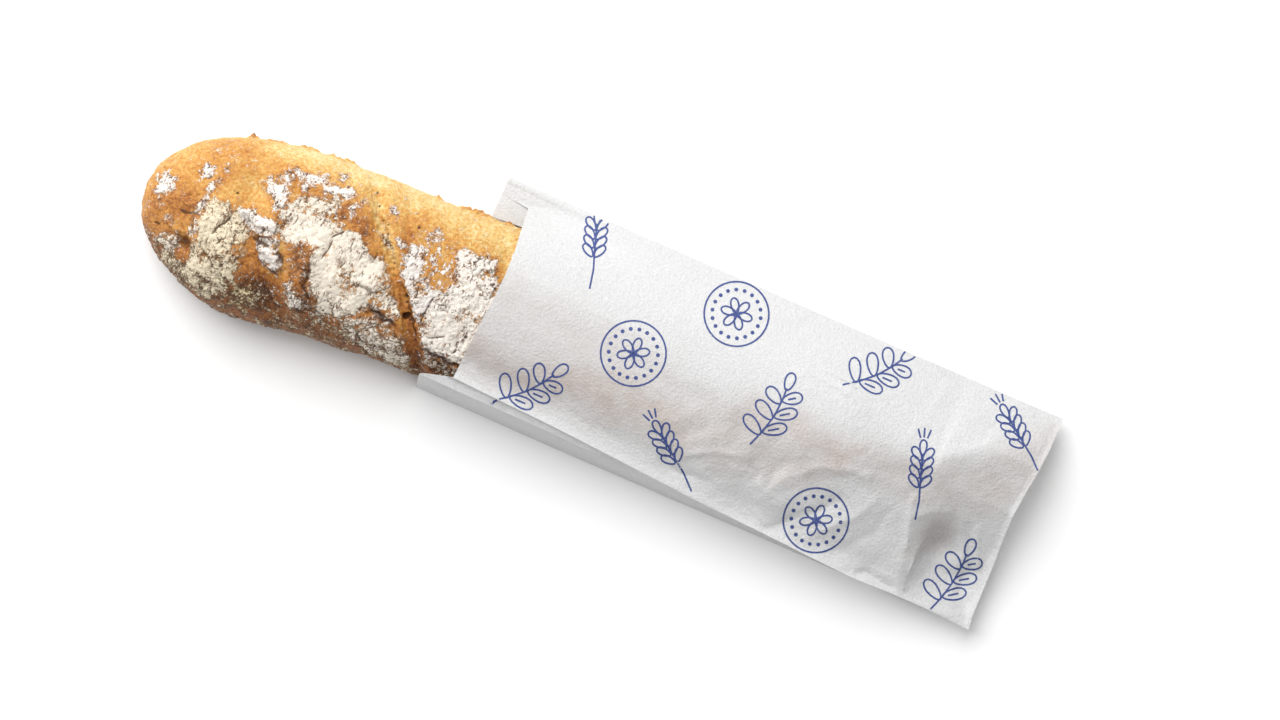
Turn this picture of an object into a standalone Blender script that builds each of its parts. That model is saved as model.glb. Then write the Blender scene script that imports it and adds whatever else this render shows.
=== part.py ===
"""A rustic baguette, dusted with flour, lying half out of a white side-gusset paper bag.

Frame: +X runs along the loaf, from its bare blunt end to the closed end of the bag. +Y is the
side away from the open scores' lower ends, +Z is up, and the floor is z = 0. The origin is the
middle of the whole, on the floor. Sizes below are in millimetres; MM turns them into metres.
"""

import math

import bmesh
import bpy
from mathutils import Vector, noise

MM = 0.001

# --- The loaf ---------------------------------------------------------------------------------
LOAF_LENGTH = 387.0
LOAF_WIDTH = 86.0
LOAF_HEIGHT = 40.0
SWELL_HEIGHT = 6.0  # the crown swells by this much near the bare end,
SWELL_AT = 60.0  # this far from its tip,
SWELL_RUN = 70.0  # over this length to either side
LOAF_START = -216.0  # x of the bare end
BARE_END_RUN = 68.0  # the bare end rounds off over this length
BAGGED_END_RUN = 60.0  # and the bagged end over this length
NARROWING = 0.09  # the share of its width that the loaf loses towards the bagged end
WAIST_AT = 127.0  # from the bare end: the loaf is a little narrower here
WAIST_RUN = 40.0
WAIST_SHARE = 0.065
WIDEST_LEVEL = 0.31  # the widest line lies this share of the height above the floor
DOME_POWER = 2.15  # superellipse powers of the domed top and of the flattened underside
BASE_POWER = 3.0
BASE_LIFT_RUN = 40.0  # the underside curves up over this length at each end
IN_BAG_LIFT = 0.95  # the loaf lies on the bag's back panel here, and on the floor outside it
# The loaf's middle line sways sideways: (distance from the bare end, y).
SWAY = (
    (0, -16.5),
    (27, -15.5),
    (52, -15.2),
    (67, -13.2),
    (97, -10.5),
    (127, -8.4),
    (167, -6.5),
    (242, -4.5),
    (342, -1.5),
    (387, -0.5),
)

BARE_LENGTH = 172.0
BARE_STEP = 3.7  # rings stand this far apart where the crust shows,
BAGGED_STEP = 9.0  # this far apart in the bag,
SCORED_STEP = 2.2  # and closer where a score runs between them
BAGGED_SCORED_STEP = 4.0
SCORE_SLANT = -0.73  # the rings lie parallel to the scores: x gained per unit of y
LOAF_POINTS_TOP = 42  # points of a ring over the dome, and under it
LOAF_POINTS_BASE = 8

# --- Relief of the crust ----------------------------------------------------------------------
LUMP_SIZE = 34.0
LUMP_HEIGHT = 0.9
BLISTER_SIZE = 11.0
BLISTER_HEIGHT = 0.45
# A baker's scores cross the loaf on a slant. Each runs through (y, x) places and has a half
# width, a depth and the height of the lip that stands along the side nearer the bag.
OPEN_SCORE = ((-49, -133), (-40, -140), (-30, -152), (-18, -161), (-6, -165), (6, -167))
CLOSED_SCORE = ((-48, -63), (-38, -70), (-28, -76), (-18, -84), (-9, -92), (2, -101), (12, -109), (23, -115))
SCORES = (
    {"line": OPEN_SCORE, "half_width": 6.5, "depth": 2.9, "lip": 1.0},
    {"line": CLOSED_SCORE, "half_width": 3.3, "depth": 3.6, "lip": 1.3},
)
BAGGED_SCORES = 3  # the row of scores goes on inside the bag, as gentler copies of the last one
SCORE_SPACING = 58.0
BAGGED_SCORE_DEPTH = 2.4
# Torn flaps of crust beside the open score: x, y, long and short radius, slant, height.
FLAPS = (
    (-155.0, -13.0, 9.0, 3.4, -35.0, 2.0),
    (-148.0, -23.0, 8.0, 3.2, -55.0, 2.0),
    (-130.0, -31.0, 9.0, 3.0, -50.0, 1.8),
    (-125.0, -40.0, 8.0, 3.0, -40.0, 1.6),
)
# Plates where the floured crust stands a little proud: x, y, radii along x and y, height.
PLATES = (
    (-174.0, -28.0, 14.0, 20.0, 1.1),
    (-120.0, -17.0, 23.0, 22.0, 1.0),
    (-70.0, -13.0, 17.0, 24.0, 0.9),
)
PIT = (-187.0, -34.5, 3.4, 2.4)  # x, y, radius and depth of the burst bubble

# --- The bag ----------------------------------------------------------------------------------
PAPER = 0.4  # thickness, all layers of the glued paper together
FRONT_MOUTH = -49.0  # the front panel is cut back between two sides of a wide notch,
BACK_MOUTH = -64.0  # and the rest of the bag stands out beyond it
NOTCH_SLANT = -59.0  # halfway down its near side, which runs on a slant over the gusset
NOTCH_FAR = (44.6, 46.0)  # y of its far side at the front mouth and at the back mouth
BAG_END = 216.0
END_DENT = 3.0  # the loaf's tip lifts the end edge, which draws it in
END_DENT_Y = 6.5
END_DENT_RUN = 30.0
TAUT_FROM = 157.0  # from here the paper runs straight down to the closed end
CLEAR = 1.7  # between the loaf's plain form and the middle of the paper
# The creases at stations along the bag: x, then y and z of the front crease, of the gusset's
# middle fold and of the back crease, on the near side (-Y) and then on the far side (+Y).
CREASES = (
    (-64, (-40.0, 34.8), (-48.6, 22.5), -52.3, (54.5, 9.5), (38.0, 4.4), 53.0),
    (6, (-42.8, 31.0), (-48.0, 17.0), -52.2, (54.6, 13.0), (39.0, 6.2), 53.2),
    (76, (-47.0, 26.5), (-45.6, 13.5), -51.5, (54.9, 14.5), (40.5, 7.2), 53.6),
    (116, (-48.6, 19.5), (-43.2, 10.0), -51.0, (55.2, 12.5), (42.5, 6.4), 54.0),
    (154, (-50.4, 9.5), (-42.5, 4.8), -50.8, (55.6, 7.4), (45.0, 4.0), 54.7),
    (186, (-49.8, 4.6), (-45.0, 2.6), -50.3, (55.9, 4.2), (49.5, 2.4), 55.3),
    (216, (-50.9, 1.8), (-50.4, 1.0), -50.9, (56.4, 1.8), (55.9, 1.0), 56.4),
)
# Hollows where the slack paper sinks beside the loaf: x, y, radii, slant and depth.
HOLLOWS = (
    (182.0, -19.0, 18.0, 9.0, 80.0, 5.0),
    (150.0, -36.0, 16.0, 8.0, -30.0, 2.0),
    (176.0, 34.0, 24.0, 11.0, -12.0, 2.0),
)
BAG_RINGS = 27
FRONT_STEPS = 20  # steps over the front panel, as far as the notch's far side,
MARGIN_STEPS = 2  # and from there to the far crease
GUSSET_STEPS = 2  # steps in each half of a gusset
BACK_STEPS = 4


def through(stations, x):
    """A smooth curve through (x, value) stations, level with its neighbours at each of them."""
    x = min(max(x, stations[0][0]), stations[-1][0])
    last = len(stations) - 1
    i = next(k for k in range(last) if x <= stations[k + 1][0])

    def slope(k):
        low, high = max(k - 1, 0), min(k + 1, last)
        return (stations[high][1] - stations[low][1]) / (stations[high][0] - stations[low][0])

    (x0, v0), (x1, v1) = stations[i], stations[i + 1]
    run = x1 - x0
    t = (x - x0) / run
    return (
        v0 * (1 + 2 * t) * (1 - t) ** 2
        + v1 * t * t * (3 - 2 * t)
        + run * (slope(i) * t * (1 - t) ** 2 + slope(i + 1) * t * t * (t - 1))
    )


def bump(distance):
    """A bell that is 1 at its middle and about 0 beyond 2."""
    return math.exp(-distance * distance)


def signed_power(value, power):
    return math.copysign(abs(value) ** power, value)


def turned(x, y, degrees):
    """(x, y) in axes that are turned by this angle."""
    a = math.radians(degrees)
    return x * math.cos(a) + y * math.sin(a), y * math.cos(a) - x * math.sin(a)


# --- The loaf's plain form --------------------------------------------------------------------
def rounded(distance, run):
    """A quarter ellipse: 0 at a tip, 1 from this run on."""
    return math.sqrt(max(1 - (1 - min(distance / run, 1.0)) ** 2, 0.0))


def eased(t):
    """A smooth step from 0 to 1."""
    t = min(max(t, 0.0), 1.0)
    return t * t * (3 - 2 * t)


def loaf_section(s):
    """(middle y, half width, widest level, crown, underside) of the loaf at distance s."""
    share = rounded(s, BARE_END_RUN) * rounded(LOAF_LENGTH - s, BAGGED_END_RUN)
    waist = 1 - WAIST_SHARE * bump((s - WAIST_AT) / WAIST_RUN)
    narrower = 1 - NARROWING * max(s / LOAF_LENGTH - 0.35, 0.0) / 0.65
    half_width = LOAF_WIDTH / 2 * share * waist * narrower
    height = LOAF_HEIGHT + SWELL_HEIGHT * bump((s - SWELL_AT) / SWELL_RUN)
    level = WIDEST_LEVEL * height
    crown = level + (height - level) * share**0.85
    lift = rounded(s, BASE_LIFT_RUN) * rounded(LOAF_LENGTH - s, BASE_LIFT_RUN)
    floor = IN_BAG_LIFT * eased((s + LOAF_START - BACK_MOUTH + 30.0) / 24.0)
    base = level - (level - floor) * lift
    return through(SWAY, s), half_width, level, crown, base


def loaf_outline(s, angle):
    """The (y, z) of the loaf's plain form where a ring point stands at this angle."""
    middle, half_width, level, crown, base = loaf_section(s)
    cos, sin = math.cos(angle), math.sin(angle)
    power = DOME_POWER if sin >= 0 else BASE_POWER
    y = middle + half_width * signed_power(cos, 2 / power)
    rise = abs(sin) ** (2 / power)
    z = level + (crown - level) * rise if sin >= 0 else level - (level - base) * rise
    return y, z


# --- Relief, as heights above the plain form, read in plan ---------------------------------------
def score_relief(x, y, score):
    line = score["line"]
    low, high = line[0][0], line[-1][0]
    opened = eased((y - low + 7.0) / 12.0) * eased((high + 7.0 - y) / 12.0)
    if opened == 0.0:
        return 0.0
    here = through(line, y)
    # Beyond its ends the line runs straight on.
    here += min(y - low, 0.0) * SCORE_SLANT + max(y - high, 0.0) * SCORE_SLANT
    across = (x - here) / math.hypot(1.0, SCORE_SLANT)
    half = score["half_width"] * (0.4 + 0.6 * opened)
    groove = -score["depth"] * opened * bump(across / half)
    lip = score["lip"] * opened * bump((across - 1.4 * half) / (0.5 * half + 0.8))
    return groove + lip


def flap_relief(x, y, flap):
    cx, cy, long_radius, short_radius, slant, height = flap
    u, v = turned(x - cx, y - cy, slant)
    return height * bump(u / long_radius) * bump(v / short_radius)


def plate_relief(x, y, plate):
    cx, cy, rx, ry, height = plate
    reach = math.hypot((x - cx) / rx, (y - cy) / ry)
    return height / (1 + math.exp(9 * (reach - 1)))


def crust_relief(x, y, z):
    """The height of the crust above the loaf's plain form, in millimetres."""
    lumps = LUMP_HEIGHT * noise.noise(Vector((x, y, z)) / LUMP_SIZE)
    blisters = BLISTER_HEIGHT * noise.noise(Vector((x, y, z)) / BLISTER_SIZE)
    relief = (lumps + blisters) * (1 - 0.6 * eased((x - BACK_MOUTH + 20.0) / 18.0))
    # What stands on top fades out down the sides, so that the underside stays plain.
    upper = min(max((z - 7.0) / 12.0, 0.0), 1.0)
    shaped = sum(score_relief(x, y, score) for score in all_scores())
    shaped += sum(flap_relief(x, y, flap) for flap in FLAPS)
    shaped += sum(plate_relief(x, y, plate) for plate in PLATES)
    pit_x, pit_y, pit_radius, pit_depth = PIT
    shaped -= pit_depth * bump(math.hypot(x - pit_x, y - pit_y) / pit_radius)
    return relief * min(z / 8.0, 1.0) + shaped * upper


def all_scores():
    """The two scores that show, and the gentler ones that go on inside the bag."""
    scores = list(SCORES)
    for i in range(1, BAGGED_SCORES + 1):
        line = tuple((y, x + i * SCORE_SPACING + 6.0) for y, x in CLOSED_SCORE)
        scores.append({"line": line, "half_width": 4.5, "depth": BAGGED_SCORE_DEPTH, "lip": 0.3})
    return scores


def ring_angles():
    """Angles of a ring's points, from the +Y side over the crown to the -Y side and back below."""
    top = [math.pi * i / LOAF_POINTS_TOP for i in range(LOAF_POINTS_TOP)]
    base = [math.pi * (1 + i / LOAF_POINTS_BASE) for i in range(LOAF_POINTS_BASE)]
    return top + base


def ring_places():
    """Distances of the rings from the bare end: closer together at the tips and at the scores."""
    crossings = [through(score["line"], through(SWAY, BARE_LENGTH / 2)) for score in all_scores()]
    places = []
    s = 0.7
    while s < LOAF_LENGTH - 0.6:
        places.append(s)
        bare = s < BARE_LENGTH
        step = BARE_STEP if bare else BAGGED_STEP
        if min(abs(LOAF_START + s - crossing) for crossing in crossings) < 9.0:
            step = SCORED_STEP if bare else BAGGED_SCORED_STEP
        s += min(step, 0.6 + 0.35 * s, 0.3 + 0.35 * (LOAF_LENGTH - s))
    return places


def slanted_place(s, angle):
    """How far from the bare end a ring's point lies: the ring runs on a slant, parallel to the scores."""
    y, _ = loaf_outline(s, angle)
    slant = SCORE_SLANT * eased((s - 15.0) / 70.0) * eased((LOAF_LENGTH - s) / 90.0)
    return s + slant * (y - loaf_section(s)[0])


def ring_point(s, angle):
    """A point of the loaf with its relief, pushed out along the plain form's normal."""
    s = slanted_place(s, angle)
    step = 0.02
    y, z = loaf_outline(s, angle)
    here = Vector((LOAF_START + s, y, z))
    ya, za = loaf_outline(s, angle + step)
    yb, zb = loaf_outline(s, angle - step)
    around = Vector((0.0, ya - yb, za - zb))
    yc, zc = loaf_outline(max(s - 0.5, 0.0), angle)
    yd, zd = loaf_outline(min(s + 0.5, LOAF_LENGTH), angle)
    along = Vector((min(s + 0.5, LOAF_LENGTH) - max(s - 0.5, 0.0), yd - yc, zd - zc))
    normal = around.cross(along)
    normal = -normal.normalized() if normal.length > 1e-9 else Vector((0.0, 0.0, 0.0))
    if normal.dot(here - Vector((here.x, loaf_section(s)[0], loaf_section(s)[2]))) < 0:
        normal = -normal
    placed = here + normal * crust_relief(*here)
    placed.z = max(placed.z, loaf_section(s)[4])
    return placed * MM


def skin(bm, rings, closed=True):
    """Quads between consecutive rings of vertices."""
    for first, second in zip(rings, rings[1:]):
        count = len(first)
        for i in range(count if closed else count - 1):
            j = (i + 1) % count
            bm.faces.new((first[i], first[j], second[j], second[i]))


def finished_object(name, bm, material, sharp_degrees):
    bmesh.ops.recalc_face_normals(bm, faces=bm.faces)
    mesh = bpy.data.meshes.new(name)
    bm.to_mesh(mesh)
    bm.free()
    mesh.materials.append(material)
    mesh.shade_smooth()
    mesh.set_sharp_from_angle(angle=math.radians(sharp_degrees))
    obj = bpy.data.objects.new(name, mesh)
    bpy.context.collection.objects.link(obj)
    return obj


def principled(name, colour, roughness):
    material = bpy.data.materials.new(name)
    material.use_nodes = True
    shader = material.node_tree.nodes["Principled BSDF"]
    shader.inputs["Base Color"].default_value = (*colour, 1.0)
    shader.inputs["Roughness"].default_value = roughness
    shader.inputs["Metallic"].default_value = 0.0
    material.diffuse_color = (*colour, 1.0)
    return material


def make_loaf():
    """One solid: rings along the loaf, closed by a point at each tip."""
    bm = bmesh.new()
    angles = ring_angles()
    rings = [[bm.verts.new(ring_point(s, a)) for a in angles] for s in ring_places()]
    skin(bm, rings)
    for s, ring in ((0.0, rings[0]), (LOAF_LENGTH, rings[-1])):
        tip = bm.verts.new(Vector((LOAF_START + s, through(SWAY, s), loaf_section(s)[2])) * MM)
        for i, vertex in enumerate(ring):
            bm.faces.new((vertex, ring[(i + 1) % len(ring)], tip))
    crust = principled("baked_crust", (0.62, 0.36, 0.15), 0.75)
    return finished_object("loaf", bm, crust, 50)


# --- The bag ----------------------------------------------------------------------------------
def crease_points(x):
    """The six crease lines of the bag at x, each as (y, z), from the near front round the back."""
    def value(pick):
        return through([(row[0], pick(row)) for row in CREASES], x)

    floor = PAPER / 2
    near_front = (value(lambda r: r[1][0]), value(lambda r: r[1][1]))
    near_fold = (value(lambda r: r[2][0]), value(lambda r: r[2][1]))
    near_back = (value(lambda r: r[3]), floor)
    far_front = (value(lambda r: r[4][0]), value(lambda r: r[4][1]))
    far_fold = (value(lambda r: r[5][0]), value(lambda r: r[5][1]))
    far_back = (value(lambda r: r[6]), floor)
    return near_front, near_fold, near_back, far_front, far_fold, far_back


def dome(x):
    """Points just above the loaf at x, which the front panel has to pass over."""
    s = x - LOAF_START
    if not 1.0 < s < LOAF_LENGTH - 1.0:
        return []
    middle, half_width, level, crown, _ = loaf_section(s)
    points = []
    for i in range(25):
        angle = math.pi * i / 24
        y = middle + (half_width + CLEAR) * signed_power(math.cos(angle), 2 / DOME_POWER)
        z = level + (crown + CLEAR - level) * math.sin(angle) ** (2 / DOME_POWER)
        points.append((y, z))
    return points


def taut_cone(x):
    """Where the paper runs down from the loaf's taper to the closed end in a straight slope."""
    if x <= TAUT_FROM:
        return []
    share = (BAG_END - x) / (BAG_END - TAUT_FROM)
    _, _, _, _, _, far_back = crease_points(BAG_END)
    near_back = crease_points(BAG_END)[2]
    middle_end = (far_back[0] + near_back[0]) / 2
    points = []
    for y, z in dome(TAUT_FROM):
        points.append((middle_end + (y - middle_end) * share, 1.8 + (z - 1.8) * share))
    return points


def upper_hull(points):
    """The taut line over these points, from the leftmost to the rightmost."""
    chain = []
    for p in sorted(points):
        while len(chain) > 1:
            (ax, ay), (bx, by) = chain[-2], chain[-1]
            if (bx - ax) * (p[1] - ay) - (by - ay) * (p[0] - ax) < 0:
                break
            chain.pop()
        chain.append(p)
    return chain


def even_steps(line, count):
    """count + 1 points, evenly spaced along a line of points."""
    lengths = [0.0]
    for a, b in zip(line, line[1:]):
        lengths.append(lengths[-1] + math.dist(a, b))
    spaced = []
    for i in range(count + 1):
        want = lengths[-1] * i / count
        k = next(n for n in range(len(line) - 1) if want <= lengths[n + 1] + 1e-9)
        t = (want - lengths[k]) / max(lengths[k + 1] - lengths[k], 1e-9)
        spaced.append(tuple(a + (b - a) * t for a, b in zip(line[k], line[k + 1])))
    return spaced


def hollow_depth(x, y):
    depth = 0.0
    for cx, cy, rx, ry, slant, deep in HOLLOWS:
        u, v = turned(x - cx, y - cy, slant)
        depth += deep * bump(u / rx) * bump(v / ry)
    return depth


def under_paper(x, y):
    """The lowest that the middle of the front panel may lie at (x, y)."""
    s = x - LOAF_START
    lowest = 1.8
    if 1.0 < s < LOAF_LENGTH - 1.0:
        middle, half_width, level, crown, _ = loaf_section(s)
        reach = abs(y - middle) / (half_width + CLEAR)
        if reach < 1:
            covered = (1 - reach**DOME_POWER) ** (1 / DOME_POWER)
            lowest = max(lowest, level + (crown + CLEAR - level) * covered)
    return lowest


def cut_line(line, y):
    """The line of points in two pieces, to either side of y."""
    k = next(n for n in range(1, len(line)) if line[n][0] > y)
    (ya, za), (yb, zb) = line[k - 1], line[k]
    at = (y, za + (zb - za) * (y - ya) / (yb - ya))
    return line[:k] + [at], [at] + line[k:]


def bag_section(x):
    """The bag's loop at x as (y, z) points: front panel, far gusset, back panel, near gusset."""
    near_front, near_fold, near_back, far_front, far_fold, far_back = crease_points(x)
    over = [p for p in dome(x) + taut_cone(x) if near_front[0] < p[0] < far_front[0]]
    line = upper_hull([near_front, *over, far_front])
    panel, rest = cut_line(line, NOTCH_FAR[0])
    margin = cut_line(rest, NOTCH_FAR[1])[1]
    front = even_steps(panel, FRONT_STEPS) + even_steps(margin, MARGIN_STEPS)
    loop = []
    for y, z in front[:-1]:
        edge = math.sin(math.pi * (y - near_front[0]) / (far_front[0] - near_front[0])) ** 0.5
        loop.append((y, max(z - hollow_depth(x, y) * edge, min(under_paper(x, y), z))))
    for start, end, steps in (
        (far_front, far_fold, GUSSET_STEPS),
        (far_fold, far_back, GUSSET_STEPS),
        (far_back, near_back, BACK_STEPS),
        (near_back, near_fold, GUSSET_STEPS),
        (near_fold, near_front, GUSSET_STEPS),
    ):
        loop += even_steps([start, end], steps)[:-1]
    return loop


def mouth_places():
    """x of the mouth's edge at each point of the loop: the front panel is cut back."""
    places = [FRONT_MOUTH] * (FRONT_STEPS + 1)
    places += [BACK_MOUTH] * (MARGIN_STEPS + 3 * GUSSET_STEPS + BACK_STEPS)
    places += [BACK_MOUTH, NOTCH_SLANT]
    return places


def make_bag():
    """A tube of paper, open at the mouth and closed at the far end, given its thickness."""
    bm = bmesh.new()
    mouths = mouth_places()
    end_loop = bag_section(BAG_END)
    rings = []
    for k in range(BAG_RINGS + 1):
        t = k / BAG_RINGS
        sections = {}
        ring = []
        for j, mouth in enumerate(mouths):
            x = mouth + (BAG_END - mouth) * t
            if x not in sections:
                sections[x] = bag_section(x)
            y, z = sections[x][j]
            drawn_in = END_DENT * bump((end_loop[j][0] - END_DENT_Y) / END_DENT_RUN)
            ring.append(bm.verts.new(Vector((x - drawn_in * t**4, y, z)) * MM))
        rings.append(ring)
    skin(bm, rings)
    bm.faces.new(rings[-1])
    paper = principled("white_kraft_paper", (0.93, 0.92, 0.91), 0.6)
    bag = finished_object("paper_bag", bm, paper, 25)
    walls = bag.modifiers.new("paper_thickness", "SOLIDIFY")
    walls.thickness = PAPER * MM
    walls.offset = 0.0
    walls.use_rim = True
    return bag


def clear_scene():
    for obj in list(bpy.data.objects):
        bpy.data.objects.remove(obj, do_unlink=True)


clear_scene()
make_loaf()
make_bag()
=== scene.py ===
"""A floured baguette lying half out of its white side-gusset paper bag, seen from straight above.

The frame is the CAD model's: metres, +X along the loaf towards the closed end of the bag, +Y
towards the side whose gusset is folded in, +Z up, and the floor at z = 0.
"""

import math
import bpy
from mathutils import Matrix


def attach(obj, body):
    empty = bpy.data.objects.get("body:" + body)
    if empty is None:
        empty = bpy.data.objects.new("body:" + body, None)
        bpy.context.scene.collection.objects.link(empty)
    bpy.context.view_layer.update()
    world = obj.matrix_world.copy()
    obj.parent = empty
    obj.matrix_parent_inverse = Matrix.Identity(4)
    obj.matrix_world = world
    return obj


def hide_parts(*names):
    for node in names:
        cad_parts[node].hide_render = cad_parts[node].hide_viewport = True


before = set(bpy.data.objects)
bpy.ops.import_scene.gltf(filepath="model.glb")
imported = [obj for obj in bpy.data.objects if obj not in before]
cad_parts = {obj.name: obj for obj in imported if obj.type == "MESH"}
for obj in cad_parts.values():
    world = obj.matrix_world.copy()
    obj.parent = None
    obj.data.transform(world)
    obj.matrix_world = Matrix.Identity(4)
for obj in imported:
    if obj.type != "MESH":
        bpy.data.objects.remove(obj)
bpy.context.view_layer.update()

from types import SimpleNamespace

import bpy
import numpy as np
from mathutils import Vector, noise
from mathutils.bvhtree import BVHTree

# ---------------------------------------------------------------------------------------------
# The camera and the studio. A long lens looks straight down from above a white table; the loaf
# runs down to the right in the picture. One large soft light stands above the picture's upper
# left edge, and white walls all round send a little light back.
# ---------------------------------------------------------------------------------------------
PICTURE_WIDTH = 0.5926  # metres of table that the picture is wide, at the height below
PICTURE_LEVEL = 0.013
PICTURE_MIDDLE = (0.026, 0.0015)
PICTURE_TURN = math.radians(24.0)
CAMERA_HEIGHT = 2.6
SENSOR = 36.0
TABLE_WIDTH = 6.0
LIGHT_PLACE = (-2.38, 1.96, 2.82)
LIGHT_AIM = (0.0, 0.0, 0.02)
LIGHT_WIDTH = 5.2
LIGHT_WATTS = 253.0
WALL_LIGHT = 0.46

camera_data = bpy.data.cameras.new("camera")
camera_data.sensor_width = SENSOR
camera_data.lens = SENSOR * (CAMERA_HEIGHT - PICTURE_LEVEL) / PICTURE_WIDTH
camera_data.clip_end = 20.0
camera = bpy.data.objects.new("camera", camera_data)
camera.location = (*PICTURE_MIDDLE, CAMERA_HEIGHT)
camera.rotation_euler = (0.0, 0.0, PICTURE_TURN)
bpy.context.collection.objects.link(camera)
bpy.context.scene.camera = camera
bpy.context.scene.view_settings.view_transform = "Standard"


def linear(hex_colour):
    """An sRGB hex colour as the linear values that a node takes."""
    values = [int(hex_colour[i : i + 2], 16) / 255 for i in (1, 3, 5)]
    return tuple(v / 12.92 if v <= 0.04045 else ((v + 0.055) / 1.055) ** 2.4 for v in values) + (1.0,)


def add_node(tree, kind, inputs=None, **settings):
    """A shader node with its settings, and its inputs given as values or as other nodes' outputs."""
    node = tree.nodes.new("ShaderNode" + kind)
    for name, value in settings.items():
        setattr(node, name, value)
    for key, value in (inputs or {}).items():
        if isinstance(value, bpy.types.NodeSocket):
            tree.links.new(value, node.inputs[key])
        else:
            node.inputs[key].default_value = value
    return node


def new_material(name):
    material = bpy.data.materials.new(name)
    material.use_nodes = True
    tree = material.node_tree
    return material, tree, tree.nodes["Principled BSDF"]


bpy.ops.object.select_all(action="DESELECT")
bpy.ops.mesh.primitive_plane_add(size=TABLE_WIDTH, location=(0.0, 0.0, 0.0))
table = bpy.context.object
table.name = "white_table"
table_paint, tree, shader = new_material("matt_white_table")
shader.inputs["Base Color"].default_value = linear("#FFFFFF")
shader.inputs["Emission Color"].default_value = linear("#FFFFFF")
shader.inputs["Emission Strength"].default_value = 0.02
shader.inputs["Roughness"].default_value = 0.9
shader.inputs["Specular IOR Level"].default_value = 0.1
table.data.materials.append(table_paint)

key = bpy.data.lights.new("soft_key", "AREA")
key.shape = "DISK"
key.size = LIGHT_WIDTH
key.energy = LIGHT_WATTS
lamp = bpy.data.objects.new("soft_key", key)
lamp.location = LIGHT_PLACE
lamp.rotation_euler = (Vector(LIGHT_PLACE) - Vector(LIGHT_AIM)).to_track_quat("Z", "Y").to_euler()
bpy.context.collection.objects.link(lamp)
world = bpy.data.worlds.new("white_studio")
world.use_nodes = True
world.node_tree.nodes["Background"].inputs["Color"].default_value = linear("#FFFFFF")
world.node_tree.nodes["Background"].inputs["Strength"].default_value = WALL_LIGHT
bpy.context.scene.world = world

# ---------------------------------------------------------------------------------------------
# The loaf: a short baguette baked on the floor of the oven, dusted with flour before it was
# scored. One score tore open into a rough valley with curled flaps, the next stayed a clean
# slash. Flour lies in cracked plates on the crown. The part inside the bag is finished alike.
# ---------------------------------------------------------------------------------------------
LOAF_GRAIN = 0.00235  # the remeshed crust, and in how many steps it is finer where it shows
FINER_STEPS = 4
SHOWS_TO = -0.046  # the crust shows from above up to this x, just inside the bag, and over this z
SHOWS_OVER = 0.008
FOOT = (3.0, 12.0)  # mm over the table between which relief and flour fade in
UNDER_PAPER = (-48.0, -42.0)  # mm along the loaf between which the paper covers it
BAG_UNDER_FROM = -66.0  # from here on the loaf lies on the bag's back panel, at this height
BAG_UNDER = 0.75

# Strokes are read in plan, in millimetres, from left to right; their right-hand side is the lower one.
SLASH = (
    (-117, 21), (-109, 12), (-101, 3), (-95, -5), (-88.5, -13), (-81, -21), (-74.5, -29), (-69, -37),
    (-64, -47),
)
TORN_VALLEY = ((-170, 4), (-164, -8), (-158, -20), (-151, -31), (-144, -40), (-137, -50))
FLAPS = (  # crust that stands up and drops off steeply on the lower side: line, half width, height
    (((-169, -12), (-164, -11.5), (-158, -13), (-153, -11.5), (-150, -13)), 2.9, 1.9),
    (((-159, -16.5), (-154, -17.5), (-149, -16.5), (-147.5, -18)), 1.4, 1.5),
    (((-156, -22.5), (-150, -22), (-145, -25), (-142.5, -29)), 2.6, 1.9),
    (((-153, -26), (-149, -28), (-143, -30)), 1.0, 0.9),
    (((-139, -30), (-134, -33), (-130, -37), (-126.5, -41)), 2.0, 1.8),
    (((-134, -27), (-130, -31), (-125, -35.5), (-119, -38)), 1.6, 1.3),
    (((-131, -31), (-127, -34.5), (-123, -38)), 1.0, 1.0),
    (((-137, -12), (-133, -14), (-129, -19), (-127, -25)), 2.4, 0.9),
    (((-126, -14), (-124, -8), (-125, -4)), 1.6, -0.5),
    (((-109, -18), (-103, -18), (-97, -19.5)), 2.4, 0.9),
    (((-99, -24.5), (-91, -26.5), (-83, -27.5)), 2.4, 0.9),
    (((-102, -33), (-96, -38), (-88, -40), (-78, -39)), 3.0, 0.7),
    (((-186, -14), (-184, -20), (-181, -26)), 1.3, 0.8),
    (((-196, -17), (-191, -18), (-187, -17)), 1.2, 0.7),
    (((-112, 18), (-103, 8), (-94, -2), (-87, -11), (-80, -20), (-73, -28), (-66, -39)), 2.2, 0.8),
    (((-72, -41), (-80, -30), (-86.5, -17), (-93, -8), (-100, -1), (-109, 10), (-119, 21)), 2.4, 0.7),
    (((-199, -29), (-193, -31), (-188.5, -30)), 1.6, 0.6),
    (((-70, -33), (-60, -32.5), (-48, -33.5)), 2.2, 0.4),
    (((-58, 11), (-54, 11.5), (-51, 10)), 1.4, 0.5),
    (((-160, 13), (-155.5, 15), (-153.5, 10), (-153, 4)), 1.8, 0.5),
    (((-148, 10), (-140, 13), (-131, 13)), 2.0, 0.5),
)
LIPS = (  # soft raised rims: line, half width, height
    (((-174, -4), (-168, -7), (-160, -6), (-152, -3)), 4.0, 0.7),
    (((-182, -14), (-176, -11), (-170, -16), (-162, -21), (-161, -32)), 2.6, 0.6),
    (((-120, -24), (-114, -21), (-106, -24), (-103, -31)), 3.6, 0.8),
    (((-148, -33), (-144, -38), (-138, -45)), 1.4, -0.6),
    (((-155, -33), (-150, -40), (-146, -47)), 1.2, 0.7),
)
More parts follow.
